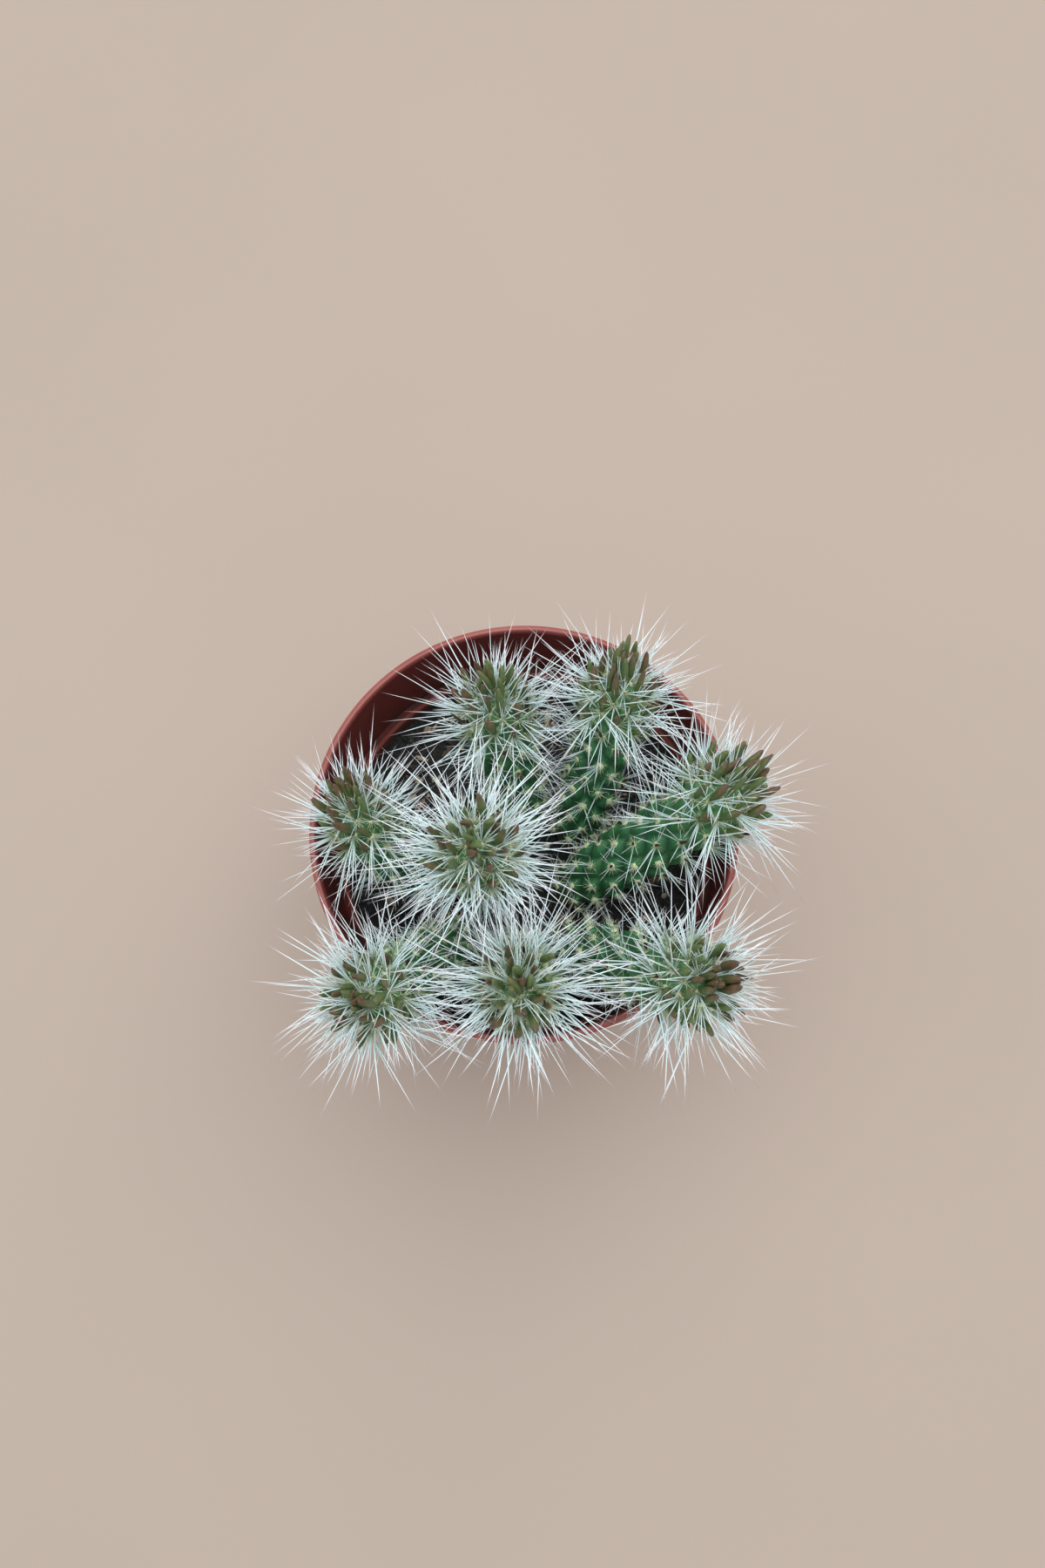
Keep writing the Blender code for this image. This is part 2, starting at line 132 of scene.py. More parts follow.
lines = {name: middle_line(name, *plan[:3]) for name, plan in STEMS.items()}
radii = {name: plan[3] * MM - TUBERCLE_HEIGHT for name, plan in STEMS.items()}
print("lines:", ", ".join(lines))

# %% [markdown]
# ## Sums on sockets
#
# Both materials and Geometry Nodes are graphs of small sums. Written node by node they are
# long and hard to check, so one small class wraps a node's output and lets Python's own
# operators add the nodes: `1 - mask` makes a Subtract node. A vector anywhere in a sum
# makes it a Vector Math node. Every other node comes from `Graph.add`, which sets the
# node's type first, then its settings, then its sockets.

# %% A class for a node's output and one for a graph


class Wire:
    """A node's output, with sums on it."""

    def __init__(self, graph, socket):
        self.graph = graph
        self.socket = socket

    def __add__(self, other):
        return self.graph.sum("ADD", self, other)

    def __radd__(self, other):
        return self.graph.sum("ADD", other, self)

    def __sub__(self, other):
        return self.graph.sum("SUBTRACT", self, other)

    def __rsub__(self, other):
        return self.graph.sum("SUBTRACT", other, self)

    def __mul__(self, other):
        return self.graph.sum("MULTIPLY", self, other)

    def __truediv__(self, other):
        return self.graph.sum("DIVIDE", self, other)

    def __rtruediv__(self, other):
        return self.graph.sum("DIVIDE", other, self)

    def __pow__(self, power):
        return self.graph.sum("POWER", self, power)

    def __gt__(self, other):
        return self.graph.sum("GREATER_THAN", self, other)

    def __lt__(self, other):
        return self.graph.sum("LESS_THAN", self, other)


class Made:
    """A new node, whose outputs are read by name."""

    def __init__(self, graph, node):
        self.graph = graph
        self.node = node

    def __getitem__(self, name):
        return Wire(self.graph, pick(self.node.outputs, name))


def pick(sockets, name):
    """A socket by its place or by its name, past the hidden ones of the same name."""
    if isinstance(name, int):
        return sockets[name]
    return next(socket for socket in sockets if socket.enabled and socket.name == name)


class Graph:
    """A node tree that nodes are added to."""

    def __init__(self, tree):
        self.tree = tree

    def add(self, kind, settings=None, sockets=None):
        node = self.tree.nodes.new(kind)
        for name, value in (settings or {}).items():
            if name == "stops":
                self.set_stops(node.color_ramp, value)
            else:
                setattr(node, name, value)
        for name, value in (sockets or {}).items():
            self.feed(pick(node.inputs, name), value)
        return Made(self, node)

    def set_stops(self, ramp, stops):
        while len(ramp.elements) < len(stops):
            ramp.elements.new(1.0)
        for element, (place, colour) in zip(ramp.elements, stops):
            element.position = place
            element.color = (*colour, 1)

    def feed(self, socket, value):
        if isinstance(value, Made):
            value = value[0]
        if isinstance(value, Wire):
            self.tree.links.new(value.socket, socket)
        elif socket.type == "RGBA":
            socket.default_value = (*value, 1)
        else:
            socket.default_value = value

    def sum(self, operation, first, second):
        flat = all(
            isinstance(one, (int, float)) or (isinstance(one, Wire) and one.socket.type != "VECTOR")
            for one in (first, second)
        )
        if flat:
            return self.maths(operation, first, second)
        first, second = (
            (one,) * 3 if isinstance(one, (int, float)) else one for one in (first, second)
        )
        return self.vector(operation, first, second)

    def maths(self, operation, *values):
        node = self.add("ShaderNodeMath", {"operation": operation}, dict(enumerate(values)))
        return node["Value"]

    def vector(self, operation, *values):
        node = self.add("ShaderNodeVectorMath", {"operation": operation}, dict(enumerate(values)))
        return node["Value" if operation == "DOT_PRODUCT" else "Vector"]

    def vector_of(self, x, y, z):
        return self.add("ShaderNodeCombineXYZ", None, {"X": x, "Y": y, "Z": z})["Vector"]

    def parts(self, vector):
        made = self.add("ShaderNodeSeparateXYZ", None, {"Vector": vector})
        return made["X"], made["Y"], made["Z"]

    def unit(self, vector):
        return self.vector("NORMALIZE", vector)

    def cross(self, first, second):
        return self.vector("CROSS_PRODUCT", first, second)

    def turned(self, start, towards, angle):
        """A direction, turned by an angle from one vector towards another square to it."""
        return start * self.maths("COSINE", angle) + towards * self.maths("SINE", angle)

    def from_axis(self, x, y):
        """How far a place is from the Z axis."""
        return self.maths("SQRT", x * x + y * y)

    def noise_at(self, place, scale, detail, output="Fac"):
        sockets = {"Vector": place, "Scale": scale, "Detail": detail}
        return self.add("ShaderNodeTexNoise", None, sockets)[output]

    def ramp(self, value, low, high, to_low=0.0, to_high=1.0, smooth=False):
        """Maps a value from one span to another and holds it inside."""
        settings = {"interpolation_type": "SMOOTHSTEP" if smooth else "LINEAR"}
        sockets = {
            "Value": value,
            "From Min": low,
            "From Max": high,
            "To Min": to_low,
            "To Max": to_high,
        }
        return self.add("ShaderNodeMapRange", settings, sockets)["Result"]


print("sums on sockets are ready")

# %% [markdown]
# ## Trees of Geometry Nodes
#
# A tree is a recipe with named inputs. `Recipe` makes one, with a few shortcuts for the
# nodes that every recipe below uses: random values with a fixed seed, attributes stored on
# the mesh for the materials to read, and smooth shading. `cook` puts a recipe on an empty
# mesh, sets its inputs by their identifiers, and keeps the result as a plain mesh.

# %% Recipes


SOCKETS = {
    "geometry": "NodeSocketGeometry",
    "object": "NodeSocketObject",
    "collection": "NodeSocketCollection",
    "material": "NodeSocketMaterial",
    "number": "NodeSocketFloat",
    "count": "NodeSocketInt",
    "vector": "NodeSocketVector",
}


class Recipe(Graph):
    """A Geometry Nodes tree with named inputs and outputs."""

    def __init__(self, name, inputs, outputs=(("Geometry", "geometry"),)):
        super().__init__(bpy.data.node_groups.new(name, "GeometryNodeTree"))
        for label, kind, *default in inputs:
            socket = self.tree.interface.new_socket(
                name=label, in_out="INPUT", socket_type=SOCKETS[kind]
            )
            if default:
                socket.default_value = default[0]
        for label, kind in outputs:
            self.tree.interface.new_socket(
                name=label, in_out="OUTPUT", socket_type=SOCKETS[kind]
            )
        self.given = self.add("NodeGroupInput")

    def give(self, **results):
        """Connects the tree's outputs."""
        sockets = {name.replace("_", " "): wire for name, wire in results.items()}
        self.add("NodeGroupOutput", None, sockets)

    def use(self, recipe, **values):
        """Adds another tree as one node. Inputs with the same name are passed on."""
        made = self.add("GeometryNodeGroup", {"node_tree": recipe.tree})
        own = {socket.name for socket in self.given.node.outputs}
        for socket in made.node.inputs:
            key = socket.name.replace(" ", "_")
            if key in values:
                self.feed(socket, values[key])
            elif socket.name in own and socket.name:
                self.feed(socket, self.given[socket.name])
        return made

    def random(self, low, high, number, seed):
        kind = "FLOAT_VECTOR" if isinstance(low, tuple) else "FLOAT"
        sockets = {"Min": low, "Max": high, "ID": number, "Seed": seed}
        return self.add("FunctionNodeRandomValue", {"data_type": kind}, sockets)["Value"]

    def share(self, number, seed):
        """A random number from 0 to 1."""
        return self.random(0.0, 1.0, number, seed)

    def stray(self, number, seed):
        """A random vector in a cube from -1 to 1."""
        return self.random((-1.0, -1.0, -1.0), (1.0, 1.0, 1.0), number, seed)

    def store(self, geometry, name, value, kind="FLOAT", domain="POINT"):
        settings = {"data_type": kind, "domain": domain}
        sockets = {"Geometry": geometry, "Name": name, "Value": value}
        return self.add("GeometryNodeStoreNamedAttribute", settings, sockets)["Geometry"]

    def stored(self, name, kind="FLOAT"):
        settings = {"data_type": kind}
        return self.add("GeometryNodeInputNamedAttribute", settings, {"Name": name})["Attribute"]

    def stored_vector(self, name):
        return self.stored(name, "FLOAT_VECTOR")

    def position(self):
        return self.add("GeometryNodeInputPosition")["Position"]

    def index(self):
        return self.add("GeometryNodeInputIndex")["Index"]

    def normal(self):
        return self.add("GeometryNodeInputNormal")["Normal"]

    def length_of(self, line):
        return self.add("GeometryNodeCurveLength", None, {"Curve": line})["Length"]

    def spot_on(self, line, along):
        """The spot at a length along a line, with its position and its tangent."""
        sockets = {"Curves": line, "Length": along}
        return self.add("GeometryNodeSampleCurve", {"mode": "LENGTH"}, sockets)

    def repeated(self, points, amount):
        """Makes several points out of each one."""
        sockets = {0: points, "Amount": amount}
        return self.add("GeometryNodeDuplicateElements", {"domain": "POINT"}, sockets)

    def mapped(self, mesh, across, up):
        """Sets the OFBake UV map from two values."""
        return self.store(mesh, "OFBake", self.vector_of(across, up, 0.0), "FLOAT2", "CORNER")

    def shape_of(self, label):
        """The shape of an object that is given."""
        sockets = {"Object": self.given[label]}
        return self.add("GeometryNodeObjectInfo", None, sockets)["Geometry"]

    def shapes_of(self, label):
        """The shapes of a collection that is given."""
        sockets = {"Collection": self.given[label]}
        return self.real(self.add("GeometryNodeCollectionInfo", None, sockets))

    def real(self, copies):
        return self.add("GeometryNodeRealizeInstances", None, {"Geometry": copies})["Geometry"]

    def welded(self, mesh, distance):
        sockets = {"Geometry": mesh, "Distance": distance}
        return self.add("GeometryNodeMergeByDistance", None, sockets)["Geometry"]

    def move(self, geometry, position=None, offset=None):
        sockets = {"Geometry": geometry}
        if position is not None:
            sockets["Position"] = position
        if offset is not None:
            sockets["Offset"] = offset
        return self.add("GeometryNodeSetPosition", None, sockets)["Geometry"]

    def drop(self, points, chosen):
        sockets = {"Geometry": points, "Selection": chosen}
        return self.add("GeometryNodeDeleteGeometry", None, sockets)["Geometry"]

    def finish(self, geometry, label, smooth=True):
        """Ends a tree: real copies, smooth shading, and the material that is given."""
        sockets = {"Geometry": self.real(geometry), "Shade Smooth": smooth}
        shaded = self.add("GeometryNodeSetShadeSmooth", None, sockets)["Geometry"]
        sockets = {"Geometry": shaded, "Material": self.given[label]}
        self.give(Geometry=self.add("GeometryNodeSetMaterial", None, sockets)["Geometry"])


def keep_result(piece):
    """Puts what a piece's modifiers make in place of its mesh."""
    graph = bpy.context.evaluated_depsgraph_get()
    start = piece.data
    piece.data = bpy.data.meshes.new_from_object(piece.evaluated_get(graph))
    piece.modifiers.clear()
    bpy.data.meshes.remove(start)
    piece.data.name = piece.name


def cook(name, recipe, **values):
    """Runs a recipe on an empty mesh and keeps the result as a plain object."""
    piece = put_in_scene(name, bpy.data.meshes.new(f"{name}_start"))
    modifier = piece.modifiers.new("recipe", "NODES")
    modifier.node_group = recipe.tree
    named = {
        item.name: item.identifier
        for item in recipe.tree.interface.items_tree
        if item.in_out == "INPUT"
    }
    for label, value in values.items():
        modifier[named[label.replace("_", " ")]] = value
    keep_result(piece)
    return piece


def collected(name, pieces):
    """A collection of pieces for a recipe to look at."""
    group = bpy.data.collections.new(name)
    bpy.context.scene.collection.children.link(group)
    for piece in pieces:
        group.objects.link(piece)
    return group


def print_triangles(label, *pieces):
    faces = (face for piece in pieces for face in piece.data.polygons)
    print(f"{label}:", sum(len(face.vertices) - 2 for face in faces), "triangles")


print("recipes are ready")

# %% [markdown]
# ## A place on a stem
#
# Bumps, wool, spines and leaves all sit on a stem's skin, so one small tree works out where
# that is. It is given how far along the middle line a thing sits, how far round, and how
# high above the skin. The stem is thin where it leaves the soil, swells over its lower
# part, and closes in a dome, whose outline is a quarter of an ellipse.

# %% The recipe for a place on a stem
STEM_INPUTS = [
    ("Radius", "number", 6 * MM),
    ("Root Radius", "number", ROOT_RADIUS),
    ("Swell Length", "number", SWELL_LENGTH),
    ("Dome Height", "number", DOME_HEIGHT),
    ("Buried", "number", STEM_DEPTH),
]


def recipe_on_stem(name, finish, *own_inputs):
    """A recipe that is given a stem's line and sizes and the finish of what grows on it."""
    inputs = [("Line", "object"), ("Relief", "number", TUBERCLE_HEIGHT), *STEM_INPUTS]
    return Recipe(name, [*inputs, *own_inputs, (finish, "material")])


def recipe_for_place():
    rule = Recipe(
        "Place on a stem",
        [("Line", "geometry"), ("Along", "number"), ("Turn", "number"), ("Rise", "number")]
        + STEM_INPUTS,
        [
            ("Position", "vector"),
            ("Outward", "vector"),
            ("Way", "vector"),
            ("Into Dome", "number"),
            ("Share", "number"),
        ],
    )
    given = rule.given
    along, turn = given["Along"], given["Turn"]
    length = rule.length_of(given["Line"])
    sample = rule.spot_on(given["Line"], along)
    way = sample["Tangent"]
    across = (1.0, 0.0, 0.0)
    side = rule.unit(across - way * rule.vector("DOT_PRODUCT", way, across))
    outward = rule.turned(side, rule.cross(way, side), turn)
    swell = rule.ramp(along - given["Buried"], 0.0, given["Swell Length"], smooth=True)
    girth = given["Root Radius"] + (given["Radius"] - given["Root Radius"]) * swell
    dome = rule.ramp(along - length + given["Dome Height"], 0.0, given["Dome Height"])
    girth = girth * rule.maths("SQRT", 1 - dome * dome)
    share = rule.ramp(along, given["Buried"], length)
    rule.give(
        Position=sample["Position"] + outward * (girth + given["Rise"]),
        Outward=outward,
        Way=way,
        Into_Dome=dome,
        Share=share,
    )
    return rule


place_on_stem = recipe_for_place()
print("nodes in the place recipe:", len(place_on_stem.tree.nodes))

# %% [markdown]
# ## Tubercles
#
# A cholla's skin is a pattern of low bumps, the tubercles, each with an areole at its top
# that bears wool, spines and for a while a leaf. Plants set each new one a golden angle
# further round than the last. Unrolled, such a spiral is a regular lattice, and here its
# nearest neighbours are 5 and 8 places apart. So any point of the skin has two lattice
# coordinates, `p` and `q`, that are whole numbers exactly at the areoles, and the bump is
# a product of two cosine waves. It closes round the stem without a seam, because a full
# turn changes both coordinates by whole numbers. A small shift of the waves puts the
# valley closer above the areole than below it, as on the plant.

# %% The recipe for a stem's skin
GOLDEN_SHARE = 137.5 / 360
NEAR = 5
FAR = 8
NEAR_TURN = NEAR * GOLDEN_SHARE - round(NEAR * GOLDEN_SHARE)
FAR_TURN = FAR * GOLDEN_SHARE - round(FAR * GOLDEN_SHARE)
PITCH = 0.70 * MM
FIRST_AREOLE = STEM_DEPTH + 2.5 * MM
CROWDED_LENGTH = 12 * MM
CROWDED_EXTRA = 18
SKIN_ROWS = 170
SKIN_COLUMNS = 84
SHOULDER = 0.86
VALLEY_SHIFT = 0.13
BLUNTNESS = 0.55
RELIEF_FADE = 0.2
WELD = 0.01 * MM


def number_at(rule, along, length):
    """How many areoles grew below a place along the stem."""
    crowded = rule.ramp(along, length - CROWDED_LENGTH, length)
    return (along - FIRST_AREOLE) / PITCH + crowded * crowded * CROWDED_EXTRA


def along_at(rule, number, length):
    """Where along the stem an areole is, which undoes the sum above."""
    start = (length - CROWDED_LENGTH - FIRST_AREOLE) / PITCH
    past = rule.maths("MAXIMUM", number - start, 0.0)
    rate, bend = 1 / PITCH, CROWDED_EXTRA / CROWDED_LENGTH**2
    beyond = (rule.maths("SQRT", past * (4 * bend) + rate**2) - rate) / (2 * bend)
    return rule.maths("MINIMUM", number, start) * PITCH + FIRST_AREOLE + beyond


def tubercle_height(rule, along, turn, length):
    """How far a point of the skin is up a tubercle, from 0 in the valleys to 1."""
    number = number_at(rule, along, length)
    round_share = turn / math.tau
    p = number * FAR_TURN - round_share * FAR
    q = round_share * NEAR - number * NEAR_TURN
    height = 1.0
    for place in (p, q):
        lift = rule.maths("SINE", place * math.pi)
        skewed = place + lift * lift * VALLEY_SHIFT
        wave = rule.maths("COSINE", skewed * math.tau)
        height = (wave * 0.5 + 0.5) * height
    return rule.maths("MAXIMUM", height, 0.0) ** BLUNTNESS


def recipe_for_skin():
    rule = recipe_on_stem("Stem skin", "Skin")
    given = rule.given
    line = rule.shape_of("Line")
    length = rule.length_of(line)
    sheet = rule.add(
        "GeometryNodeMeshGrid",
        None,
        {"Size X": 1.0, "Size Y": 1.0, "Vertices X": SKIN_ROWS, "Vertices Y": SKIN_COLUMNS + 1},
    )["Mesh"]
    x, y, _ = rule.parts(rule.position())
    sheet = rule.store(sheet, "up_the_skin", x + 0.5)
    sheet = rule.store(sheet, "round_the_skin", y + 0.5)
    up, round_share = rule.stored("up_the_skin"), rule.stored("round_the_skin")
    sheet = rule.mapped(sheet, round_share, up)
    body = length - given["Dome Height"]
    into_dome = rule.ramp(up, SHOULDER, 1.0)
    along = rule.ramp(up, 0.0, SHOULDER) * body
    along = along + rule.maths("SINE", into_dome * (math.pi / 2)) * given["Dome Height"]
    turn = round_share * math.tau
    height = tubercle_height(rule, along, turn, length)
    height = height * rule.ramp(along, STEM_DEPTH, FIRST_AREOLE + 2 * MM)
    place = rule.use(place_on_stem, Line=line, Along=along, Turn=turn, Rise=0.0)
    dome = place["Into Dome"]
    relief = height * given["Relief"] * rule.ramp(dome, RELIEF_FADE, 1.0, 1.0, 0.0)
    lumps = rule.noise_at(place["Position"], 160.0, 2.0)
    relief = relief + (lumps - 0.5) * 0.5 * MM * rule.ramp(dome, 0.5, 1.0, 1.0, 0.0)
    closed = up > 0.5 / SKIN_ROWS
    position = place["Position"] + place["Outward"] * relief
    foot = rule.spot_on(line, 0.0)["Position"]
    position = foot + (position - foot) * closed
    sheet = rule.store(sheet, "tubercle", height)
    sheet = rule.store(sheet, "stem_share", place["Share"])
    sheet = rule.move(sheet, position)
    sheet = rule.welded(sheet, WELD)
    sheet = rule.add("GeometryNodeFlipFaces", None, {"Mesh": sheet})["Mesh"]
    rule.finish(sheet, "Skin")
    return rule


skin_recipe = recipe_for_skin()
print("nodes in the skin recipe:", len(skin_recipe.tree.nodes))

# %% [markdown]
# ## Areoles
#
# The next recipe lists the places where the lattice has its whole numbers: one point for
# each areole, in the order in which the plant grew them. Each point carries what grows on
# it needs to know: its number, which way is out, which way is up the stem, and the
# direction that the areole faces, which is out and a little up, and straight up at the tip.
# On the crown of the dome the last few are set closer and closer to the middle, evenly over
# its area, and are marked as young: each bears a leaf, and two spines are added to its own.

# %% The recipe for the areoles
AREOLE_TILT = math.radians(22)
DOME_TILT = math.radians(30)
CROWN_DEPTH = 1.0 * MM
CROWN_COUNT = 6
SUNK = 0.15 * MM


def recipe_for_areoles():
    rule = Recipe(
        "Areoles",
        [("Line", "geometry"), ("Relief", "number", TUBERCLE_HEIGHT)] + STEM_INPUTS,
        [("Points", "geometry")],
    )
    given = rule.given
    length = rule.length_of(given["Line"])
    grown = rule.maths("FLOOR", number_at(rule, length - CROWN_DEPTH, length))
    points = rule.add("GeometryNodePoints", None, {"Count": grown + CROWN_COUNT})[0]
    number = rule.index()
    young = number > grown - 0.5
    inward = rule.ramp(number - grown, -0.5, CROWN_COUNT - 0.5, 1.0, 0.02)
    crown_start = 1 - CROWN_DEPTH / DOME_HEIGHT
    height_in_dome = rule.maths("SQRT", 1 - inward * (1 - crown_start**2))
    crown = length - given["Dome Height"] * (1 - height_in_dome)
    along = along_at(rule, number, length)
    along = along + (crown - along) * young
    turn = number * (GOLDEN_SHARE * math.tau)
    into_dome = along - length + given["Dome Height"]
    fade = rule.ramp(into_dome, RELIEF_FADE * DOME_HEIGHT, DOME_HEIGHT)
    rise = given["Relief"] * (1 - fade) - SUNK
    place = rule.use(place_on_stem, Along=along, Turn=turn, Rise=rise)
    tilt = place["Into Dome"] * DOME_TILT + AREOLE_TILT
    facing = rule.turned(place["Outward"], place["Way"], tilt)
    points = rule.store(points, "number", number, "INT")
    points = rule.store(points, "young", young)
    points = rule.store(points, "below_tip", length - along)
    points = rule.store(points, "stem_share", place["Share"])
    directions = {"outward": place["Outward"], "way": place["Way"], "facing": facing}
    for name, direction in directions.items():
        points = rule.store(points, name, direction, "FLOAT_VECTOR")
    rule.give(Points=rule.move(points, place["Position"]))
    return rule


areoles = recipe_for_areoles()
print("nodes in the areole recipe:", len(areoles.tree.nodes))

# %% [markdown]
# ## Placing copies
#
# Spines, hairs and leaves are all one small shape, copied many times. A needle or a leaf is
# one unit high, with its root at the origin. A cushion of wool or a crumb starts as a ball
# round it. Two attributes say how far up the shape and how far round it a point is. Each
# copy is turned to its own direction, scaled to its own size, and gets a tone, a random
# number that the materials use. The last function lays the copies side by side in a UV map,
# one narrow strip each, so that colours baked from the materials keep their run from root
# to tip.

# %% Helpers for copies
# No areole bears this many copies, so each copy can have a number of its own.
MOST_COPIES = 64
STRIP_FILL = 0.8
STRIP_EDGE = 0.1


def marked_shape(rule, shape):
    """Stores how far up and round a unit shape its points are."""
    x, y, z = rule.parts(rule.position())
    shape = rule.store(shape, "up_it", rule.ramp(z, 0.0, 1.0))
    turn = rule.maths("ARCTAN2", y, x) / math.tau + 0.5
    return rule.store(shape, "round_it", turn)


def needle_shape(rule, sides, steps, power):
    """A unit needle that tapers slowly at first and then to a point."""
    cone = rule.add(
        "GeometryNodeMeshCone",
        {"fill_type": "NGON"},
        {
            "Vertices": sides,
            "Side Segments": steps,
            "Radius Top": 0.0,
            "Radius Bottom": 1.0,
            "Depth": 1.0,
        },
    )["Mesh"]
    cone = marked_shape(rule, cone)
    position = rule.position()
    up = rule.stored("up_it")
    fuller = rule.ramp(up, 0.0, 1.0, 1.0, power)
    return rule.move(cone, position * rule.vector_of(fuller, fuller, 1.0))


def set_out(rule, points, shape, direction, thickness, length, number, seed):
    """Copies a unit shape to every point."""
    aligned = rule.add("FunctionNodeAlignRotationToVector", {"axis": "Z"}, {"Vector": direction})
    spin = rule.vector_of(0.0, 0.0, rule.random(0.0, math.tau, number, seed))
    rotation = rule.add(
        "FunctionNodeRotateRotation",
        {"rotation_space": "LOCAL"},
        {"Rotation": aligned["Rotation"], "Rotate By": spin},
    )["Rotation"]
    count = rule.add("GeometryNodeAttributeDomainSize", {"component": "POINTCLOUD"}, {0: points})
    index = rule.index()
    points = rule.store(points, "strip", index / count["Point Count"])
    points = rule.store(points, "strip_width", 1 / count["Point Count"])
    points = rule.store(points, "tone", rule.share(number, seed))
    scale = rule.vector_of(thickness, thickness, length)
    sockets = {"Points": points, "Instance": shape, "Rotation": rotation, "Scale": scale}
    return rule.real(rule.add("GeometryNodeInstanceOnPoints", None, sockets)["Instances"])


def with_strips(rule, mesh):
    """Lays the copies side by side in the OFBake UV map."""
    inside = rule.stored("round_it") * STRIP_FILL + STRIP_EDGE
    across = rule.stored("strip") + rule.stored("strip_width") * inside
    return rule.mapped(mesh, across, rule.stored("up_it"))


print("helpers for copies are ready")

# %% [markdown]
# ## Leaves
#
# A young cholla joint carries small fleshy leaves, one under each areole, for a few weeks.
# At the growing tip they stand upright in a tuft, and further down they lean out, get
# shorter and drop. Each is a round rod that is thin at its root, fullest beyond its middle
# and rounded at its end. The recipe makes the rod from a line with a changing radius, sets
# one under each areole near the tip, leans it by its distance from the tip, and curls its
# end up along the stem. Many of the lower ones have dried: they are thinner, darker and more
# curled. About a third of all leaves end in a small hook.

# %% The recipe for leaves
LEAF_ZONE = 11 * MM
LAST_LEAF = 32 * MM
DRY_BELOW = 6 * MM
HOOKED_SHARE = 0.35
LEAF_STEPS = 9
LEAF_SIDES = 6


def leaf_shape(rule):
    line = rule.add(
        "GeometryNodeCurvePrimitiveLine", None, {"Start": (0, 0, 0), "End": (0, 0, 1)}
    )["Curve"]
    line = rule.add("GeometryNodeResampleCurve", None, {"Curve": line, "Count": LEAF_STEPS})[0]
    factor = rule.add("GeometryNodeSplineParameter")["Factor"]
    closer = rule.maths("SINE", factor * (math.pi / 2))
    line = rule.move(line, rule.vector_of(0.0, 0.0, closer))
    _, _, up = rule.parts(rule.position())
    swell = rule.ramp(up, 0.0, 0.55, 0.55, 1.0, smooth=True)
    cap = rule.ramp(up, 0.6, 1.0)
    radius = swell * rule.maths("SQRT", 1 - cap * cap)
    ring = rule.add("GeometryNodeCurvePrimitiveCircle", None, {"Resolution": LEAF_SIDES})[0]
    rod = rule.add(
        "GeometryNodeCurveToMesh",
        None,
        {"Curve": line, "Profile Curve": ring, "Scale": radius, "Fill Caps": True},
    )["Mesh"]
    return marked_shape(rule, rule.welded(rod, 0.001))


def recipe_for_leaves():
    rule = recipe_on_stem(
        "Leaves",
        "Leaf",
        ("Seed", "count", 1),
        ("Leaf Length", "number", 10.5 * MM),
        ("Leaf Radius", "number", 0.92 * MM),
    )
    given = rule.given
    seed = given["Seed"]
    points = rule.use(areoles, Line=rule.shape_of("Line"))["Points"]
    number, below = rule.stored("number", "INT"), rule.stored("below_tip")
    chance = rule.ramp(below, LEAF_ZONE, LAST_LEAF, 0.65, 0.3)
    fallen = rule.share(number, seed + 1) > chance
    points = rule.drop(points, fallen * (below > LEAF_ZONE))
    wither = rule.ramp(below, DRY_BELOW, 28 * MM, 0.2, 1.1)
    dry = (rule.share(number, seed + 2) < wither) * (below > DRY_BELOW)
    points = rule.store(points, "dry", dry)
    dry = rule.stored("dry")
    lean = rule.ramp(below, 0.0, 3 * MM, 0.0, math.radians(7))
    lean = lean + rule.ramp(below, 3 * MM, 13 * MM, 0.0, math.radians(50))
    lean = lean + rule.random(-0.14, 0.14, number, seed + 3)
    outward = rule.stored_vector("outward")
    way = rule.stored_vector("way")
    loose = rule.stray(number, seed + 4)
    direction = rule.turned(way, outward, lean) + loose * 0.13
    size = rule.ramp(below, 1 * MM, 10 * MM, 1.0, 0.5) * rule.random(0.8, 1.15, number, seed + 5)
    size = size * rule.ramp(below, 10 * MM, LAST_LEAF, 1.0, 0.5)
    size = size * rule.ramp(below, 0.0, 1.5 * MM, 0.85, 1.0)
    thickness = given["Leaf Radius"] * rule.random(0.8, 1.15, number, seed + 6)
    thickness = thickness * (1 - dry * 0.5) * rule.ramp(below, 8 * MM, 24 * MM, 1.0, 0.75)
    position = rule.position()
    points = rule.move(points, position - outward * 0.6 * MM - way * 0.8 * MM)
    curl = rule.random(0.6, 2.2, number, seed + 7) * MM * rule.maths("SINE", lean)
    points = rule.store(points, "curl", curl * (1 + dry * 1.6) * size)
    hooked = rule.share(number, seed + 9) < HOOKED_SHARE
    points = rule.store(points, "hook", loose * hooked * size * 1.6 * MM, "FLOAT_VECTOR")
    rod, length = leaf_shape(rule), given["Leaf Length"] * size
    leaves = set_out(rule, points, rod, direction, thickness, length, number, seed + 8)
    up = rule.stored("up_it")
    hook = rule.stored_vector("hook") * rule.ramp(up, 0.35, 1.0) ** 2
    leaves = rule.move(leaves, offset=way * (up * up * rule.stored("curl")) + hook)
    rule.finish(with_strips(rule, leaves), "Leaf")
    return rule


leaf_recipe = recipe_for_leaves()
print("nodes in the leaf recipe:", len(leaf_recipe.tree.nodes))

# %% [markdown]
# ## Wool and bristles
#
# Every areole is a small cushion of cream wool with fine bristles all round it. The cushion
# is a flattened ball with a rough surface. The bristles are needles like the spines, with
# fewer sides, and far shorter and thinner.

# %% The recipe for wool
BRISTLE_RADIUS = 0.1 * MM


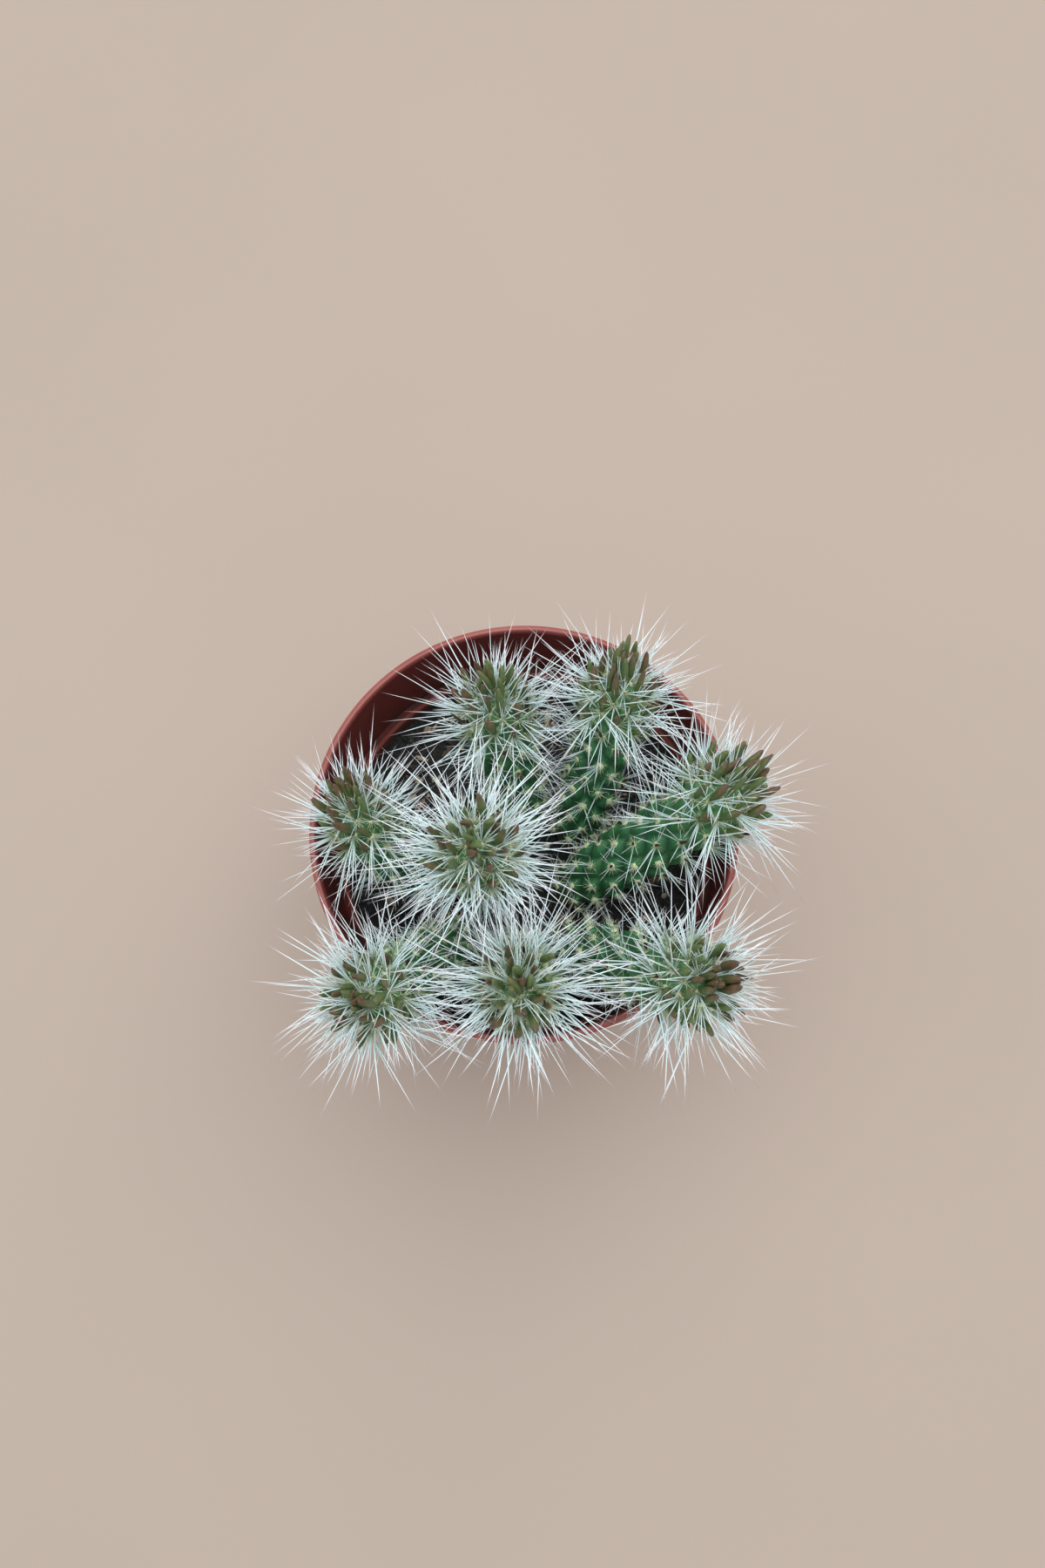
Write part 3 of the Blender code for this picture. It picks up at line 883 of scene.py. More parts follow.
def recipe_for_wool():
    rule = recipe_on_stem(
        "Wool",
        "Wool",
        ("Seed", "count", 1),
        ("Cushion", "number", 0.88 * MM),
        ("Bristles", "count", 34),
        ("Bristle Length", "number", 2.7 * MM),
    )
    given = rule.given
    seed = given["Seed"]
    points = rule.use(areoles, Line=rule.shape_of("Line"))["Points"]
    number = rule.stored("number", "INT")
    facing = rule.stored_vector("facing")
    ball = rule.add("GeometryNodeMeshUVSphere", None, {"Segments": 8, "Rings": 5, "Radius": 1.0})
    ball = marked_shape(rule, ball["Mesh"])
    radius = given["Cushion"] * rule.random(0.8, 1.15, number, seed)
    balls = set_out(rule, points, ball, facing, radius, radius * 0.65, number, seed + 1)
    grain = rule.noise_at(rule.position(), 1500.0, 1.0)
    balls = rule.move(balls, offset=rule.normal() * ((grain - 0.5) * 0.9 * MM))
    copies = rule.repeated(points, given["Bristles"])
    own = number * MOST_COPIES + copies["Duplicate Index"]
    loose = rule.stray(own, seed + 2)
    direction = rule.unit(facing * 0.65 + loose)
    below = rule.stored("below_tip")
    length = given["Bristle Length"] * (rule.share(own, seed + 3) ** 2 * 0.75 + 0.4)
    length = length * rule.ramp(below, 5 * MM, 18 * MM, 1.8, 1.0)
    needle = needle_shape(rule, 3, 1, 1.0)
    spots = rule.move(copies["Geometry"], offset=loose * 0.35 * MM)
    hairs = set_out(rule, spots, needle, direction, BRISTLE_RADIUS, length, own, seed + 4)
    both = rule.add("GeometryNodeJoinGeometry")
    for part in (balls, hairs):
        rule.tree.links.new(part.socket, both.node.inputs[0])
    rule.finish(with_strips(rule, both["Geometry"]), "Wool")
    return rule


wool_recipe = recipe_for_wool()
print("nodes in the wool recipe:", len(wool_recipe.tree.nodes))

# %% [markdown]
# ## Spines
#
# The spines give a cholla its look: straight, glassy needles in loose bundles, short and
# few near the soil, long and dense round the tips. The recipe copies each areole's point
# once for every spine it bears. Spines of one bundle share a random bearing and lean, and
# each then strays a little. A real spine that meets a neighbour is pushed aside as it
# grows. Here a ray is cast along it first: if something is in the way, a second and a
# third direction are tried, and the last one is cut short before it touches.

# %% The recipe for spines
SPINE_TRIES = 3
LEAST_REACH = 2.5 * MM


def spine_aim(rule, own, bundle, seed):
    """A random direction near that of the spine's bundle."""
    facing = rule.stored_vector("facing")
    way = rule.stored_vector("way")
    around = rule.unit(rule.cross(way, facing))
    bearing = rule.random(0.0, math.tau, bundle, seed)
    across = rule.turned(around, rule.cross(facing, around), bearing)
    share = rule.stored("stem_share")
    narrow = rule.ramp(share, 0.3, 0.75, math.radians(14), math.radians(4))
    wide = rule.ramp(share, 0.3, 0.75, math.radians(70), math.radians(50))
    lean = narrow + (wide - narrow) * rule.share(bundle, seed + 1)
    loose = rule.stray(own, seed + 2)
    return rule.unit(rule.turned(facing, across, lean) + loose * 0.3)


def recipe_for_spines():
    rule = recipe_on_stem(
        "Spines",
        "Spine",
        ("In The Way", "collection"),
        ("Seed", "count", 1),
        ("Fewest", "number", 6.0),
        ("Most", "number", 10.0),
        ("Shortest", "number", 7.5 * MM),
        ("Longest", "number", 25.0 * MM),
        ("Spine Radius", "number", 0.17 * MM),
    )
    given = rule.given
    seed = given["Seed"]
    points = rule.use(areoles, Line=rule.shape_of("Line"))["Points"]
    number, share = rule.stored("number", "INT"), rule.stored("stem_share")
    below, young = rule.stored("below_tip"), rule.stored("young")
    amount = rule.ramp(share, 0.58, 0.93, given["Fewest"], given["Most"])
    amount = amount * rule.ramp(below, 1 * MM, 6 * MM, 0.85, 1.0)
    amount = amount + rule.random(-1.0, 1.5, number, seed) + young * 2
    copies = rule.repeated(points, amount)
    which = copies["Duplicate Index"]
    own = number * MOST_COPIES + which
    bundle = number * MOST_COPIES + rule.maths("FLOOR", which / 2)
    growth = rule.ramp(share, 0.28, 0.87, 0.0, 1.0) ** 1.5
    full = given["Shortest"] + (given["Longest"] - given["Shortest"]) * growth
    full = full * rule.ramp(below, 0.0, 6 * MM, 0.5, 1.0)
    length = full * (rule.share(own, seed + 1) ** 1.7 * 0.6 + 0.4)
    others = rule.shapes_of("In The Way")
    position = rule.position()
    aim, blocked = None, 1.0
    for attempt in range(SPINE_TRIES):
        new_aim = spine_aim(rule, own, bundle, seed + 10 + 5 * attempt)
        ray = rule.add(
            "GeometryNodeRaycast",
            None,
            {
                "Target Geometry": others,
                "Source Position": position + new_aim * 0.9 * MM,
                "Ray Direction": new_aim,
                "Ray Length": length,
            },
        )
        aim = new_aim if aim is None else aim + (new_aim - aim) * blocked
        blocked = ray["Is Hit"] * blocked
    spines = rule.store(copies["Geometry"], "aim", aim, "FLOAT_VECTOR")
    cut = rule.maths("MINIMUM", length, ray["Hit Distance"] * 0.85)
    spines = rule.store(spines, "reach", length + (cut - length) * blocked)
    reach = rule.stored("reach")
    spines = rule.drop(spines, reach < LEAST_REACH)
    thickness = given["Spine Radius"] * rule.ramp(reach, 4 * MM, 16 * MM, 0.6, 1.05)
    thickness = thickness * rule.random(0.68, 1.1, own, seed + 3)
    thickness = thickness * rule.ramp(rule.stored("stem_share"), 0.5, 0.82, 0.7, 1.0)
    needle = needle_shape(rule, 4, 3, 2.2)
    aim = rule.stored_vector("aim")
    spines = set_out(rule, spines, needle, aim, thickness, reach, own, seed + 2)
    rule.finish(with_strips(rule, spines), "Spine")
    return rule


spine_recipe = recipe_for_spines()
print("nodes in the spine recipe:", len(spine_recipe.tree.nodes))

# %% [markdown]
# ## Materials
#
# Each finish below is a small graph on one Principled shader. What varies over a surface,
# its colour, roughness and bump, comes from the attributes that the recipes stored and from
# noise in object coordinates. What is the same all over is set on the shader's own sockets.

# %% A class for finishes


class Finish(Graph):
    """A material with one Principled shader."""

    def __init__(self, name, **constants):
        self.material = bpy.data.materials.new(name)
        self.material.use_nodes = True
        super().__init__(self.material.node_tree)
        self.tree.nodes.clear()
        sockets = {label.replace("_", " "): value for label, value in constants.items()}
        self.shader = self.add("ShaderNodeBsdfPrincipled", None, sockets)
        self.add("ShaderNodeOutputMaterial", None, {"Surface": self.shader["BSDF"]})
        self.place = self.add("ShaderNodeTexCoord")["Object"]

    def vary(self, **values):
        for label, value in values.items():
            self.feed(pick(self.shader.node.inputs, label.replace("_", " ")), value)

    def read(self, name):
        return self.add("ShaderNodeAttribute", {"attribute_name": name})["Fac"]

    def noise(self, scale, detail=2.0):
        return self.noise_at(self.place, scale, detail)

    def mix(self, first, second, share, blend="MIX"):
        settings = {"data_type": "RGBA", "blend_type": blend}
        sockets = {"A": first, "B": second, "Factor": share}
        return self.add("ShaderNodeMix", settings, sockets)["Result"]

    def shade(self, colour, factor):
        """A colour made darker or lighter by a factor that varies."""
        grey = self.vector_of(factor, factor, factor)
        return self.mix(colour, grey, 1.0, "MULTIPLY")

    def bump(self, height, distance):
        sockets = {"Height": height, "Distance": distance, "Strength": 1.0}
        return self.add("ShaderNodeBump", None, sockets)["Normal"]


print("finishes are ready")

# %% [markdown]
# ### Plant
#
# The skin is painted deep green in the valleys between the tubercles, as painted shade, and
# lighter on their tops. It is a fresh green where it is young, and corky near the soil.
# Spines run from a pale yellow-green base through a cool white to a plain white tip. The wool
# is a greenish cream. Leaves are olive with a red-brown end, and the dried ones are dark.

# %% Finishes of the plant


def skin_finish():
    skin = Finish("cholla_skin")
    height, share = skin.read("tubercle"), skin.read("stem_share")
    clouds = skin.noise(110.0)
    flecks = skin.noise(2600.0, 1.0)
    # Painted shade: the valleys between tubercles are painted deep green and the tops lighter.
    green = skin.mix((0.009, 0.074, 0.030), (0.044, 0.225, 0.082), skin.ramp(height, 0.05, 0.9))
    green = skin.mix(green, (0.040, 0.150, 0.040), skin.ramp(clouds, 0.45, 0.7) * 0.6)
    young = skin.ramp(share, 0.65, 1.0) * 0.7
    green = skin.mix(green, (0.085, 0.240, 0.080), young)
    green = skin.mix(green, (0.12, 0.22, 0.09), skin.ramp(flecks, 0.60, 0.72) * 0.35)
    cork = skin.ramp(share + (clouds - 0.5) * 0.12, 0.02, 0.14, 0.85, 0.0)
    colour = skin.mix(green, (0.075, 0.052, 0.028), cork)
    skin.vary(
        Base_Color=colour,
        Roughness=skin.ramp(clouds, 0.3, 0.7, 0.42, 0.56) + cork * 0.2,
        Normal=skin.bump(flecks + skin.noise(700.0) * 2.0, 0.08 * MM),
    )
    return skin.material


def spine_finish():
    spine = Finish("cholla_spine")
    up, tone = spine.read("up_it"), spine.read("tone")
    colour = spine.mix((0.60, 0.76, 0.44), (0.76, 0.95, 0.97), spine.ramp(up, 0.0, 0.26))
    colour = spine.mix(colour, (0.95, 0.93, 0.98), spine.ramp(up, 0.4, 0.85))
    colour = spine.shade(colour, spine.ramp(tone, 0.0, 1.0, 0.88, 1.0))
    spine.vary(Base_Color=colour, Roughness=spine.ramp(tone, 0.0, 1.0, 0.30, 0.42))
    return spine.material


def wool_finish():
    wool = Finish("areole_wool", Sheen_Weight=0.2)
    tone = wool.read("tone")
    grain = wool.noise(3500.0, 1.0)
    colour = wool.mix((0.57, 0.63, 0.36), (0.80, 0.87, 0.62), wool.ramp(grain, 0.35, 0.65))
    colour = wool.shade(colour, wool.ramp(tone, 0.0, 1.0, 0.85, 1.0))
    wool.vary(Base_Color=colour, Roughness=0.8 + tone * 0.15)
    return wool.material


def leaf_finish():
    leaf = Finish("young_leaf")
    up, tone, dry = leaf.read("up_it"), leaf.read("tone"), leaf.read("dry")
    below = leaf.read("below_tip")
    green = leaf.mix((0.105, 0.160, 0.050), (0.070, 0.122, 0.036), tone)
    blush = leaf.ramp(up + (tone - 0.5) * 0.8, 0.6, 1.1)
    blush = blush * leaf.ramp(below, 2 * MM, 22 * MM, 0.85, 0.75)
    colour = leaf.mix(green, (0.150, 0.080, 0.044), blush)
    scorch = leaf.ramp(up, 0.86, 1.0) * (tone > 0.45)
    colour = leaf.mix(colour, (0.060, 0.030, 0.020), scorch * 0.8)
    streaks = leaf.noise(900.0, 2.0)
    colour = leaf.shade(colour, leaf.ramp(streaks, 0.3, 0.7, 0.8, 1.15))
    colour = leaf.mix(colour, (0.050, 0.022, 0.014), dry * leaf.ramp(up, 0.1, 0.5, 0.6, 0.95))
    leaf.vary(
        Base_Color=colour,
        Roughness=0.38 + dry * 0.35,
        Normal=leaf.bump(streaks, 0.15 * MM),
    )
    return leaf.material


plant = {
    "Skin": skin_finish(),
    "Spine": spine_finish(),
    "Wool": wool_finish(),
    "Leaf": leaf_finish(),
}
print("plant finishes:", ", ".join(material.name for material in plant.values()))

# %% [markdown]
# ### Pot and soil
#
# The pot is moulded plastic of a dull terracotta red, satin, a little dusty, with soil
# smeared on its inner wall. The inner wall is also painted a dark maroon all over, as
# painted shade. The soil is a dark peat mix, and its crumbs and chips each take one of a few
# earth colours by their tone.

# %% Finishes of the pot and the soil
SMEAR_TOP = 84 * MM


def pot_finish():
    pot = Finish("pot_plastic")
    x, y, height = pot.parts(pot.place)
    from_middle = pot.from_axis(x, y)
    clouds = pot.noise(70.0, 4.0)
    dust = pot.noise(900.0, 3.0)
    colour = pot.mix((0.255, 0.055, 0.045), (0.310, 0.078, 0.062), pot.ramp(clouds, 0.35, 0.65))
    colour = pot.mix(colour, (0.34, 0.21, 0.17), pot.ramp(dust, 0.55, 0.75) * 0.22)
    collar_low = POT_HEIGHT - COLLAR_HEIGHT
    mid_wall = pot.ramp(
        height, 0.0, collar_low - COLLAR_STEP, BASE_RADIUS - WALL / 2, SOIL_WALL + WALL / 2
    )
    step = pot.ramp(height, collar_low - 1.1 * MM, collar_low - 0.9 * MM)
    mid_wall = mid_wall + step * COLLAR_STEP
    mid_wall = mid_wall + pot.ramp(height, collar_low, POT_HEIGHT) * COLLAR_DRAFT
    inside = (from_middle < mid_wall) * (height > FLOOR / 2)
    # Painted shade: the whole inner wall is painted a dark maroon.
    colour = pot.mix(colour, (0.120, 0.018, 0.017), inside * 0.8)
    low = pot.ramp(height, SOIL_TOP, SMEAR_TOP, 1.0, 0.0)
    smear = pot.ramp(pot.noise(160.0, 5.0) + (low - 0.5) * 0.5, 0.5, 0.75) * inside
    colour = pot.mix(colour, (0.035, 0.020, 0.014), smear * 0.7)
    pot.vary(
        Base_Color=colour,
        Roughness=pot.ramp(dust, 0.3, 0.7, 0.36, 0.50) + smear * 0.3,
        Normal=pot.bump(pot.noise(1400.0, 2.0), 0.03 * MM),
    )
    return pot.material


def soil_finish():
    soil = Finish("peat_mix")
    grain = soil.noise(900.0, 4.0)
    clouds = soil.noise(120.0)
    colour = soil.mix((0.003, 0.004, 0.004), (0.015, 0.019, 0.019), soil.ramp(grain, 0.35, 0.7))
    colour = soil.mix(colour, (0.026, 0.026, 0.023), soil.ramp(clouds, 0.5, 0.75) * 0.4)
    soil.vary(
        Base_Color=colour,
        Roughness=soil.ramp(grain, 0.3, 0.7, 0.95, 0.8),
        Normal=soil.bump(grain, 0.8 * MM),
    )
    return soil.material


def crumb_finish():
    crumb = Finish("crumbs_and_chips")
    tone = crumb.read("tone")
    grain = crumb.noise(1200.0, 3.0)
    earth = crumb.add(
        "ShaderNodeValToRGB",
        {
            "stops": [
                (0.0, (0.005, 0.006, 0.006)),
                (0.45, (0.014, 0.017, 0.017)),
                (0.62, (0.048, 0.036, 0.026)),
                (0.74, (0.038, 0.030, 0.024)),
                (0.84, (0.200, 0.140, 0.085)),
                (0.93, (0.400, 0.320, 0.210)),
                (1.0, (0.620, 0.560, 0.440)),
            ]
        },
        {"Fac": tone},
    )["Color"]
    colour = crumb.shade(earth, crumb.ramp(grain, 0.3, 0.7, 0.65, 1.2))
    crumb.vary(Base_Color=colour, Roughness=0.85, Normal=crumb.bump(grain, 0.3 * MM))
    return crumb.material


pot_plastic, peat_mix, crumbs_and_chips = pot_finish(), soil_finish(), crumb_finish()
print("other finishes:", pot_plastic.name, peat_mix.name, crumbs_and_chips.name)

# %% [markdown]
# ## The pot
#
# One profile, turned round the Z axis, makes the whole shell: flat base, tapered body, a
# step out to the deep collar, a rounded lip, and the same again inside. Eight round drain
# holes go through the floor.

# %% Turn the pot
POT_SIDES = 144
BASE_ROUND = 1.0 * MM
STEP_ROUND = 0.5 * MM
COLLAR_ROUND = 0.6 * MM
FLOOR_ROUND = 1.5 * MM
ROUND_STEPS = 4
LIP_STEPS = 10
DRAIN_HOLES = 8
DRAIN_RADIUS = 3.5 * MM
DRAIN_CIRCLE = 25 * MM
DRAIN_SIDES = 32
POT_SHARP_ANGLE = 30
LEVEL = 0.999


def new_object(name, mesh_plan, material, sharp_angle=40):
    mesh = bpy.data.meshes.new(name)
    mesh_plan.to_mesh(mesh)
    mesh_plan.free()
    piece = put_in_scene(name, mesh)
    mesh.materials.append(material)
    mesh.polygons.foreach_set("use_smooth", [True] * len(mesh.polygons))
    mesh.set_sharp_from_angle(angle=math.radians(sharp_angle))
    return piece


def on_circle(radius, step, steps):
    """One of the places that divide a circle round the Z axis evenly."""
    angle = math.tau * step / steps
    return radius * math.cos(angle), radius * math.sin(angle)


def turned_shell(profile, sides):
    """Turns a profile of (radius, height) points round the Z axis.

    One flat face closes each end. A fan of faces there would leave points in line on the
    rims of the drain holes, and faces with no area between them.
    """
    plan = bmesh.new()
    rings = []
    for radius, height in profile:
        places = [on_circle(radius, side, sides) for side in range(sides)]
        rings.append([plan.verts.new((*place, height)) for place in places])
    for low, high in zip(rings, rings[1:]):
        for side in range(sides):
            after = (side + 1) % sides
            plan.faces.new((low[side], low[after], high[after], high[side]))
    plan.faces.new(rings[0])
    plan.faces.new(rings[-1])
    bmesh.ops.recalc_face_normals(plan, faces=plan.faces)
    return plan


def rounded(before, corner, after, radius):
    """The points of a small arc in place of a profile's corner."""
    corner = Vector(corner)
    way_in = (Vector(before) - corner).normalized()
    way_out = (Vector(after) - corner).normalized()
    reach = radius / math.tan(way_in.angle(way_out) / 2)
    start, end = corner + way_in * reach, corner + way_out * reach
    return [
        start.lerp(corner, share).lerp(corner.lerp(end, share), share)
        for share in (step / ROUND_STEPS for step in range(ROUND_STEPS + 1))
    ]


def rounded_run(points, radii):
    """A stretch of a profile with every corner between its two ends rounded."""
    run = []
    for before, corner, after, radius in zip(points, points[1:], points[2:], radii):
        run += rounded(before, corner, after, radius)
    return run


def pot_profile():
    collar_low = POT_HEIGHT - COLLAR_HEIGHT
    collar_radius = RIM_RADIUS - COLLAR_DRAFT
    body_top = (collar_radius - COLLAR_STEP, collar_low - COLLAR_STEP)
    lip = LIP_WIDTH / 2
    lip_middle = (RIM_RADIUS - lip, POT_HEIGHT - lip)
    outside = [
        (0, 0),
        (BASE_RADIUS, 0),
        body_top,
        (collar_radius, collar_low),
        (RIM_RADIUS, lip_middle[1]),
    ]
    lip_arc = [
        (lip_middle[0] + lip * math.cos(turn), lip_middle[1] + lip * math.sin(turn))
        for turn in (math.pi * step / LIP_STEPS for step in range(1, LIP_STEPS))
    ]
    inside = [
        (RIM_RADIUS - LIP_WIDTH, lip_middle[1]),
        (collar_radius - WALL, collar_low),
        (body_top[0] - WALL, body_top[1]),
        (BASE_RADIUS - WALL, FLOOR),
        (0, FLOOR),
    ]
    outline = rounded_run(outside, (BASE_ROUND, STEP_ROUND, COLLAR_ROUND))
    outline += [outside[-1], *lip_arc, inside[0]]
    outline += rounded_run(inside, (COLLAR_ROUND, STEP_ROUND, FLOOR_ROUND))
    return outline


def drained(piece):
    """Bores the ring of drain holes through the floor."""
    plan = bmesh.new()
    for hole in range(DRAIN_HOLES):
        rod = bmesh.ops.create_cone(
            plan,
            cap_ends=True,
            segments=DRAIN_SIDES,
            radius1=DRAIN_RADIUS,
            radius2=DRAIN_RADIUS,
            depth=4 * FLOOR,
        )
        place = Vector((*on_circle(DRAIN_CIRCLE, hole + 0.5, DRAIN_HOLES), 0))
        bmesh.ops.translate(plan, verts=rod["verts"], vec=place)
    rods = new_object("drain_rods", plan, piece.data.materials[0])
    cut = piece.modifiers.new("drain", "BOOLEAN")
    cut.operation = "DIFFERENCE"
    cut.solver = "EXACT"
    cut.object = rods
    keep_result(piece)
    bpy.data.objects.remove(rods)


def level_faces_flat(piece):
    """Marks the bored edges as sharp and shades the level faces flat, above and below."""
    piece.data.set_sharp_from_angle(angle=math.radians(POT_SHARP_ANGLE))
    for face in piece.data.polygons:
        face.use_smooth = abs(face.normal.z) < LEVEL


pot = new_object("pot_shell", turned_shell(pot_profile(), POT_SIDES), pot_plastic, POT_SHARP_ANGLE)
drained(pot)
level_faces_flat(pot)
print_triangles("pot", pot)

# %% [markdown]
# ## The soil
#
# The soil is a closed plug with the same slow waves as the solid model, broken up by noise.
# Crumbs, bark chips and pale grains lie on it. They are lumps with a few faces each,
# scattered by one recipe that is run for several sizes.

# %% Fill the pot
SOIL_RINGS = 64
SOIL_SIDES = 144
SOIL_WAVES = (7 * MM, 6 * MM, 9 * MM)
WAVE_HEIGHT = 0.5 * MM
LUMP_SIZE = 4 * MM
LUMP_HEIGHT = 0.9 * MM
# How much weaker and how much finer each layer of lumps is, and how many layers there are.
LUMP_LAYERS = (0.9, 2.0, 4)
PLUG_HEIGHTS = (58 * MM, FLOOR + 0.5 * MM)
PLUG_GAP = 0.4 * MM


def soil_level(x, y):
    across, back, slant = SOIL_WAVES
    wave = math.sin(x / across) * math.cos(y / back)
    wave += 0.6 * math.sin((x + 2 * y) / slant + 1.3)
    lumps = noise.fractal(Vector((x, y, 0)) / LUMP_SIZE, *LUMP_LAYERS)
    return SOIL_TOP + wave * WAVE_HEIGHT + lumps * LUMP_HEIGHT


def soil_plug():
    plan = bmesh.new()
    middle = plan.verts.new((0, 0, soil_level(0, 0)))
    rings = []
    for ring in range(1, SOIL_RINGS + 1):
        radius = SOIL_WALL * ring / SOIL_RINGS
        places = [on_circle(radius, side, SOIL_SIDES) for side in range(SOIL_SIDES)]
        rings.append([plan.verts.new((x, y, soil_level(x, y))) for x, y in places])
    for height in PLUG_HEIGHTS:
        share = (height - FLOOR) / (SOIL_TOP - FLOOR)
        radius = (BASE_RADIUS - WALL) * (1 - share) + SOIL_WALL * share - PLUG_GAP
        rings.append(
            [plan.verts.new((*(point.co.xy.normalized() * radius), height)) for point in rings[-1]]
        )
    for side in range(SOIL_SIDES):
        after = (side + 1) % SOIL_SIDES
        plan.faces.new((middle, rings[0][side], rings[0][after]))
        for inner, outer in zip(rings, rings[1:]):
            plan.faces.new((inner[side], outer[side], outer[after], inner[after]))
    plan.faces.new(rings[-1])
    bmesh.ops.recalc_face_normals(plan, faces=plan.faces)
    return plan


soil = new_object("soil_plug", soil_plug(), peat_mix, 180)
print_triangles("soil", soil)

# %% [markdown]
# ## Dress the stems
#
# Each stem now gets its skin and its leaves, from the same recipes with its own line,
# radius and seed.

# %% Skins and leaves


def stem_values(name):
    return {"Line": lines[name], "Radius": radii[name]}


skins, leaves = {}, {}
for seed, name in enumerate(STEMS, start=1):
    values = stem_values(name)
    skins[name] = cook(f"{name}_skin", skin_recipe, Skin=plant["Skin"], **values)
    leaves[name] = cook(
        f"{name}_leaves", leaf_recipe, Leaf=plant["Leaf"], Seed=seed * 100, **values
    )
print_triangles("skins", *skins.values())
print_triangles("leaves", *leaves.values())

# %% Wool and spines
in_the_way = collected("in_the_way", [pot, soil, *leaves.values()])
wool, spines = {}, {}
for seed, name in enumerate(STEMS, start=1):
    values = stem_values(name)
    wool[name] = cook(f"{name}_wool", wool_recipe, Wool=plant["Wool"], Seed=seed * 100, **values)
    others = [skin for key, skin in skins.items() if key != name]
    for skin in others:
        in_the_way.objects.link(skin)
    spines[name] = cook(
        f"{name}_spines",
        spine_recipe,
        Spine=plant["Spine"],
        Seed=seed * 100,
        In_The_Way=in_the_way,
        **values,
    )
    for skin in others:
        in_the_way.objects.unlink(skin)
bpy.data.collections.remove(in_the_way)
print_triangles("wool", *wool.values())
print_triangles("spines", *spines.values())

# %% [markdown]
# ## Crumbs and chips
#
# The recipe scatters points over the upper faces of the soil and sets a lump on each one,
# dented and turned at random. The lumps of bark are three times as long as they are wide.
# Points that are too near a stem's skin or the pot's wall are dropped.

# %% The recipe for crumbs


def recipe_for_crumbs():
    rule = Recipe(
        "Crumbs",
        [
            ("Ground", "object"),
            ("Stems", "collection"),
            ("Seed", "count", 1),
            ("Density", "number", 200000.0),
            ("Smallest", "number", 0.3 * MM),
            ("Largest", "number", 0.8 * MM),
            ("Length", "number", 1.0),
            ("Lowest Tone", "number", 0.0),
            ("Highest Tone", "number", 1.0),
            ("Roundness", "count", 1),
            ("Crumb", "material"),
        ],
    )
    given = rule.given
    seed = given["Seed"]
    ground = rule.shape_of("Ground")
    _, _, upward = rule.parts(rule.normal())
    scatter = rule.add(
        "GeometryNodeDistributePointsOnFaces",
        None,
        {"Mesh": ground, "Selection": upward > 0.4, "Density": given["Density"], "Seed": seed},
    )
    points = scatter["Points"]
    number = rule.index()
    position = rule.position()
    size = rule.share(number, seed + 1) ** 2
    size = given["Smallest"] + (given["Largest"] - given["Smallest"]) * size
    points = rule.store(points, "size", size)
    size = rule.stored("size")
    sockets = {0: rule.shapes_of("Stems"), "Sample Position": position}
    gap = rule.add("GeometryNodeProximity", None, sockets)["Distance"]
    points = rule.drop(points, gap < size * 0.9)
    x, y, _ = rule.parts(position)
    reach = size * given["Length"]
    points = rule.drop(points, rule.from_axis(x, y) + reach > SOIL_WALL)
    loose = rule.random((-1.0, -1.0, -0.5), (1.0, 1.0, 0.5), number, seed + 2)
    lump = rule.add(
        "GeometryNodeMeshIcoSphere", None, {"Radius": 1.0, "Subdivisions": given["Roundness"]}
    )["Mesh"]
    lump = marked_shape(rule, lump)
    lumps = set_out(rule, points, lump, loose, size, reach, number, seed + 3)
    dent = rule.noise_at(rule.position(), 700.0, 1.0, "Color")
    spread = rule.vector("SUBTRACT", dent, (0.5, 0.5, 0.5))
    lumps = rule.move(lumps, offset=spread * (rule.stored("size") * 1.6))
    tone = rule.ramp(
        rule.stored("tone"), 0.0, 1.0, given["Lowest Tone"], given["Highest Tone"]
    )
    lumps = rule.store(lumps, "tone", tone)
    rule.finish(with_strips(rule, lumps), "Crumb", smooth=False)
    return rule


crumb_recipe = recipe_for_crumbs()
print("nodes in the crumb recipe:", len(crumb_recipe.tree.nodes))

# %% Scatter crumbs
LOOSE_BITS = {
    "soil_crumbs": {"Seed": 11, "Density": 420000.0, "Highest_Tone": 0.8},
    "bark_chips": {
        "Seed": 23,
        "Density": 30000.0,
        "Smallest": 0.5 * MM,
        "Largest": 1.1 * MM,
        "Length": 3.0,
        "Lowest_Tone": 0.5,
        "Highest_Tone": 0.97,
    },
    "pale_grains": {
        "Seed": 37,
        "Density": 15000.0,
        "Smallest": 0.4 * MM,
        "Largest": 1.0 * MM,
        "Length": 1.2,
        "Lowest_Tone": 0.84,
        "Highest_Tone": 1.0,
        "Roundness": 2,
    },
}
stems_here = collected("stems_here", skins.values())
shared = {"Ground": soil, "Stems": stems_here, "Crumb": crumbs_and_chips}
loose_bits = [cook(name, crumb_recipe, **kind, **shared) for name, kind in LOOSE_BITS.items()]
bpy.data.collections.remove(stems_here)
for piece in loose_bits:
    print_triangles(piece.name, piece)

# %% [markdown]
# ## Tie the pieces to the model
#
# Every piece rides on the model's one body and hides the plain solid that it replaces. The
# middle lines were only helpers.

# %% Ride and replace


def dress(piece, nodes):
    """Ties a finished piece to the solid model."""
    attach(piece, "root")
    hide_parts(*nodes)


dress(pot, ["pot"])
for piece in (soil, *loose_bits):
    dress(piece, ["soil"])
for name in STEMS:
    for piece in (skins[name], leaves[name], wool[name], spines[name]):
        dress(piece, [name])
for line in lines.values():
    bpy.data.curves.remove(line.data)
pieces = [pot, soil, *loose_bits]
pieces += [*skins.values(), *leaves.values(), *wool.values(), *spines.values()]
print_triangles(f"all {len(pieces)} pieces", *pieces)

# %% [markdown]
# ## Floor, light and camera
#
# The plant stands on a plain pale floor under a large soft light from above, with a weaker
# and cooler one from the left. The camera looks almost straight down, as the photo was
# taken, and is rolled a few degrees.

# %% Stage


